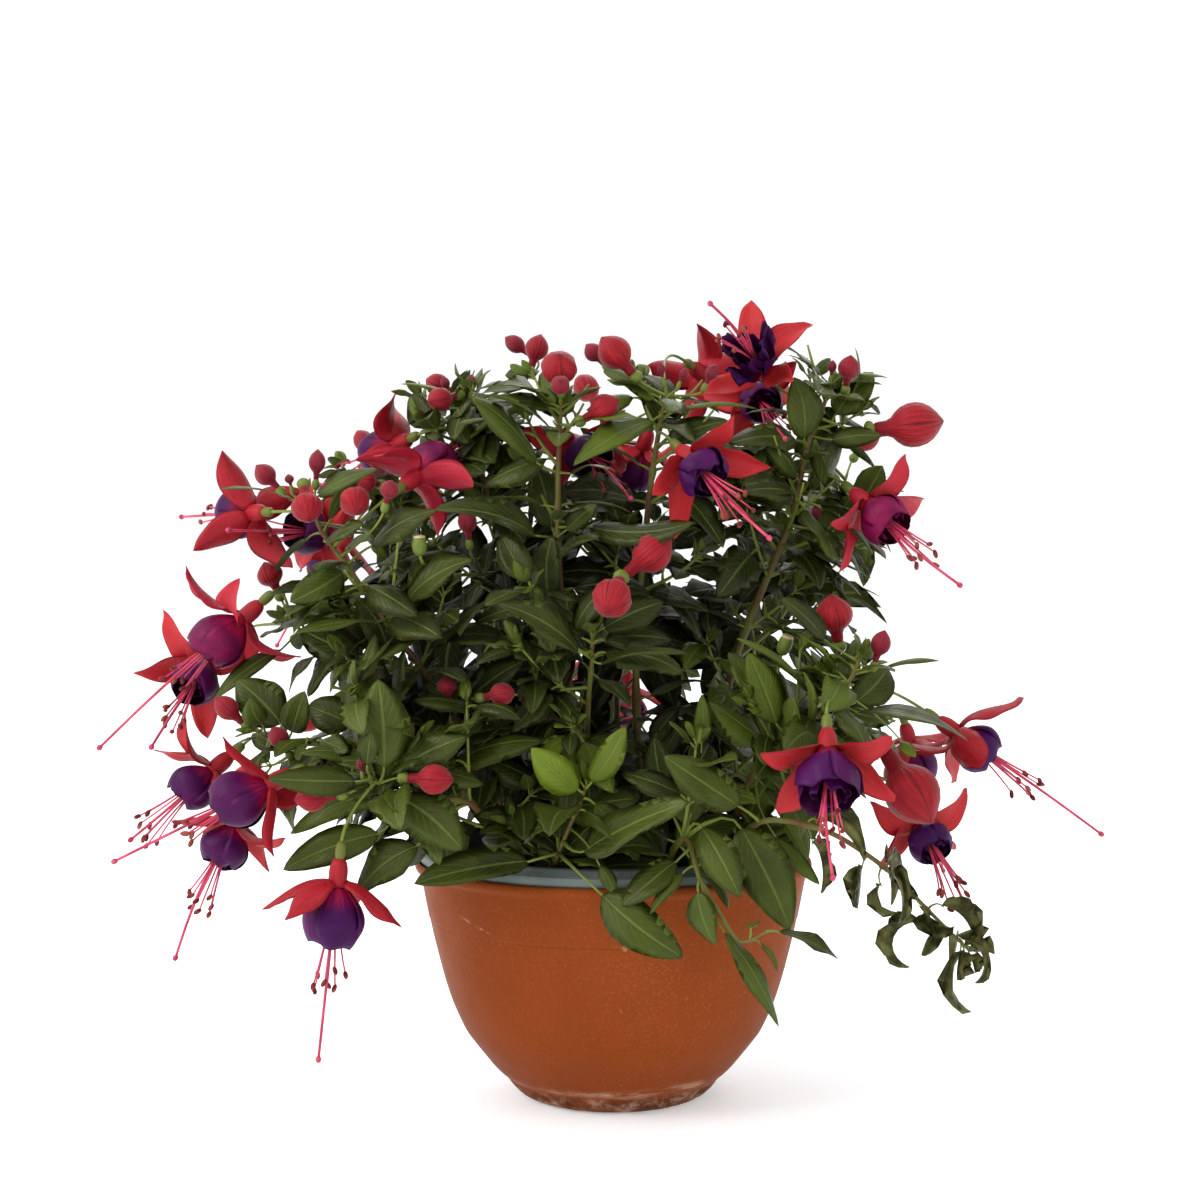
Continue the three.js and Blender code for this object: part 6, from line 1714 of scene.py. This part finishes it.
def petal_rings(bloom, length, look, draw, whorl):
    """Four petals of one whorl, wound so that one edge of each lies inside the petal before it.
    Height is h = L v (1 - 0.08 |2 f - 1|^3), so that each has a round rim, and radius is a bell,
    2.2 + 11.9 sin(pi / 2 min(1, v / 0.64))^0.8, that closes in above its belly or flares out with the look's
    second number. An inner whorl is narrower, folded lengthwise and ruffled."""
    side, other = round_axis(bloom)
    v = np.linspace(0.02, 1, 16)[:, None]
    f = there_and_back(0, 1, PETAL_POINTS)
    outside = np.where(np.arange(len(f)) < PETAL_POINTS, 1, -1)
    off = np.abs(2 * f - 1)
    rings = []
    for k in range(4):
        start = (k + 0.5 + 0.5 * whorl["turn"]) * math.pi / 2 + draw(-0.15, 0.15)
        sweep = math.radians(draw(142, 158) * whorl["sweep"])
        angle = start + (f - 0.5) * sweep * (1 - whorl["point"] * 0.6 * v)
        beat, phase, lean = draw(5, 9), draw(0, 6), draw(-1, 1)
        rim = np.clip((v - 0.7) / 0.3, 0, 1)
        tall = length * draw(0.93, 1.05) * (1 - mix(0.08, 0.42, whorl["point"]) * off**3)
        tall = tall + rim * 0.9 * np.sin(f * beat * 1.7 + phase)
        bell = 2.2 + 11.9 * np.sin(math.pi / 2 * np.minimum(1, v / 0.64)) ** 0.8
        opening = mix(-5.4, 5.5, look[1]) + whorl["flare"] + lean
        bell = bell + np.clip((v - 0.58) / 0.42, 0, 1) ** 2.2 * opening
        bell = bell * (1 + 0.13 * (f - 0.5)) * whorl["wide"] * (0.45 + 0.55 * look[2])
        bell = bell + rim * whorl["ruffle"] * np.sin(f * beat + phase)
        bell = bell + whorl["fold"] * v * np.cos(f * 12 + phase)
        body = 0.26 * outside * (1 - 0.5 * rim) * np.where(off > 0.99, 0, 1)
        radius = bell + body * np.where(v > 0.99, 0, 1)
        out = side * np.cos(angle)[..., None] + other * np.sin(angle)[..., None]
        rings.append(bloom["mouth"] + bloom["axis"] * (tall * v)[..., None] + out * radius[..., None])
    return np.array(rings), grid(v, f)


def make_petals(settings):
    """The violet skirt of each bloom: four petals wound round one another, with a folded inner whorl.
    Bloom 11 is seen into, and its petals are pointed and stand apart."""
    violet, magenta = settings.violet, settings.magenta
    materials = [
        petal_finish("petal_outside", violet, magenta, linear(0xB01A44)),
        petal_finish("petal_inside", dim(violet, 0.6), dim(magenta, 0.7), linear(0x8A1038)),
    ]
    slots = (np.arange(2 * PETAL_POINTS - 2) > PETAL_POINTS - 2).astype(int)
    for bloom in PLANT["blooms"]:
        draw = Draws(500 + 41 * int(bloom["name"]))
        look = BLOOM_LOOKS[bloom["name"]]
        skin = Skin()
        for whorl in WHORLS.get(bloom["name"], (SKIRT, INNER)):
            length = settings.skirt_length / MM * look[2] * (1 if whorl is SKIRT else 0.94)
            rings, uv = petal_rings(bloom, length, look, draw, whorl)
            skin.shell(rings, uv, slots, [(draw(0, 1), look[0] + draw(-0.05, 0.08)) for _ in rings])
        skin.make("petals_" + bloom["name"], materials, ["corolla_" + bloom["name"]])


# ---- Stage -------------------------------------------------------------------------------------------

# Soft lights: name, place, target, width, and power as a share of the key light's.
LIGHTS = [
    ("key", (-2.2, -1.1, 2.0), (0, 0, 0.2), 2.4, 1),
    ("fill", (1.9, -1.2, 0.9), (0, 0, 0.2), 1.6, 0.03),
    ("back", (0.3, 1.8, 1.8), (0, 0, 0.25), 1.6, 0.2),
]
FLOOR_GLOW = 0.3
FLOOR_TONES = ((0.9, 0.95, 0.965), (0.91, 0.96, 0.975))
SKY_STRENGTH = 1.06


def area_light(name, place_at, target, size, power):
    light = bpy.data.lights.new(name, "AREA")
    light.shape, light.size, light.energy = "DISK", size, power
    lamp = add_object(name, light)
    lamp.location = place_at
    lamp.rotation_euler = (Vector(target) - Vector(place_at)).to_track_quat("-Z", "Y").to_euler()


def make_floor(size):
    """A white floor that glows a little, so that it stays white under the plant."""
    half = size / 2
    mesh = bpy.data.meshes.new("floor")
    corners = [(-half, -half, 0), (half, -half, 0), (half, half, 0), (-half, half, 0)]
    mesh.from_pydata(corners, [], [(0, 1, 2, 3)])
    f = Finish("floor_white", Roughness=0.9, Specular_IOR_Level=0.1)
    f.put(f.skin.inputs["Emission Color"], (1, 1, 1))
    f.put(f.skin.inputs["Emission Strength"], FLOOR_GLOW)
    mesh.materials.append(f.finish(f.blend(f.span(f.noise(2.0), 0.3, 0.7), *FLOOR_TONES)))
    add_object("floor", mesh)


def make_stage(settings):
    """A white floor, a white sky, soft lights and the camera where the photograph was taken from."""
    scene = bpy.context.scene
    make_floor(settings.floor_size)
    scene.world = bpy.data.worlds.new("white_room")
    scene.world.use_nodes = True
    sky = scene.world.node_tree.nodes["Background"]
    sky.inputs["Color"].default_value = (1, 1, 1, 1)
    sky.inputs["Strength"].default_value = SKY_STRENGTH
    scene.view_settings.view_transform = "Standard"
    for name, place_at, target, size, share in LIGHTS:
        area_light(name, place_at, target, size, settings.key_power * share)
    camera = add_object("camera", bpy.data.cameras.new("camera"))
    camera.data.lens = settings.lens
    camera.data.sensor_width = SENSOR
    camera.location = (EYE["x"] * MM, -EYE["distance"] * MM, EYE["height"] * MM)
    camera.rotation_euler = (math.pi / 2 - EYE_PITCH, 0, 0)
    scene.camera = camera


# ---- Operators and panel -----------------------------------------------------------------------------


class FUCHSIA_OT_bowl(bpy.types.Operator):
    """Make the terracotta bowl"""

    bl_idname = "fuchsia.bowl"
    bl_label = "Terracotta Bowl"

    def execute(self, context):
        make_bowl(context.scene.fuchsia_pot)
        return {"FINISHED"}


class FUCHSIA_OT_inner_pot(bpy.types.Operator):
    """Make the grey pot that stands in the bowl"""

    bl_idname = "fuchsia.inner_pot"
    bl_label = "Grey Inner Pot"

    def execute(self, context):
        make_inner_pot(context.scene.fuchsia_pot)
        return {"FINISHED"}


class FUCHSIA_OT_soil(bpy.types.Operator):
    """Make the soil"""

    bl_idname = "fuchsia.soil"
    bl_label = "Soil"

    def execute(self, context):
        make_soil()
        return {"FINISHED"}


class FUCHSIA_OT_branches(bpy.types.Operator):
    """Make the stems with their leaf stalks, flower stalks and ovaries"""

    bl_idname = "fuchsia.branches"
    bl_label = "Branches"

    def execute(self, context):
        make_branches(context.scene.fuchsia_greenery)
        return {"FINISHED"}


class FUCHSIA_OT_leaves(bpy.types.Operator):
    """Make the leaves"""

    bl_idname = "fuchsia.leaves"
    bl_label = "Leaves"

    def execute(self, context):
        make_leaves(context.scene.fuchsia_greenery)
        return {"FINISHED"}


class FUCHSIA_OT_buds(bpy.types.Operator):
    """Make the buds"""

    bl_idname = "fuchsia.buds"
    bl_label = "Buds"

    def execute(self, context):
        make_buds(context.scene.fuchsia_blooms)
        return {"FINISHED"}


class FUCHSIA_OT_flowers(bpy.types.Operator):
    """Make the tubes, sepals, stamens and styles"""

    bl_idname = "fuchsia.flowers"
    bl_label = "Flowers"

    def execute(self, context):
        make_flowers(context.scene.fuchsia_blooms)
        return {"FINISHED"}


class FUCHSIA_OT_petals(bpy.types.Operator):
    """Make the violet skirts"""

    bl_idname = "fuchsia.petals"
    bl_label = "Petals"

    def execute(self, context):
        make_petals(context.scene.fuchsia_blooms)
        return {"FINISHED"}


class FUCHSIA_OT_stage(bpy.types.Operator):
    """Make the floor, the lights and the camera"""

    bl_idname = "fuchsia.stage"
    bl_label = "Stage"

    def execute(self, context):
        make_stage(context.scene.fuchsia_stage)
        return {"FINISHED"}


OPERATORS = (
    FUCHSIA_OT_stage, FUCHSIA_OT_bowl, FUCHSIA_OT_inner_pot, FUCHSIA_OT_soil, FUCHSIA_OT_branches,
    FUCHSIA_OT_leaves, FUCHSIA_OT_buds, FUCHSIA_OT_flowers, FUCHSIA_OT_petals,
)
GROUPS = dict(fuchsia_pot=FuchsiaPot, fuchsia_greenery=FuchsiaGreenery, fuchsia_blooms=FuchsiaBlooms,
              fuchsia_stage=FuchsiaStage)


class FUCHSIA_PT_panel(bpy.types.Panel):
    """The pieces and their sizes and colours"""

    bl_idname = "FUCHSIA_PT_panel"
    bl_label = "Fuchsia"
    bl_space_type = "VIEW_3D"
    bl_region_type = "UI"
    bl_category = "Fuchsia"

    def draw(self, context):
        for name, group in GROUPS.items():
            box = self.layout.box()
            for key in group.__annotations__:
                box.prop(getattr(context.scene, name), key)
        for operator in OPERATORS:
            self.layout.operator(operator.bl_idname)


CLASSES = (*GROUPS.values(), *OPERATORS, FUCHSIA_PT_panel)


def register():
    for cls in CLASSES:
        bpy.utils.register_class(cls)
    for name, group in GROUPS.items():
        setattr(bpy.types.Scene, name, PointerProperty(type=group))


def unregister():
    for name in GROUPS:
        delattr(bpy.types.Scene, name)
    for cls in reversed(CLASSES):
        bpy.utils.unregister_class(cls)


def main():
    register()
    bpy.ops.fuchsia.stage()
    bpy.ops.fuchsia.bowl()
    bpy.ops.fuchsia.inner_pot()
    bpy.ops.fuchsia.soil()
    bpy.ops.fuchsia.branches()
    bpy.ops.fuchsia.leaves()
    bpy.ops.fuchsia.buds()
    bpy.ops.fuchsia.flowers()
    bpy.ops.fuchsia.petals()


if __name__ == "__main__":
    main()
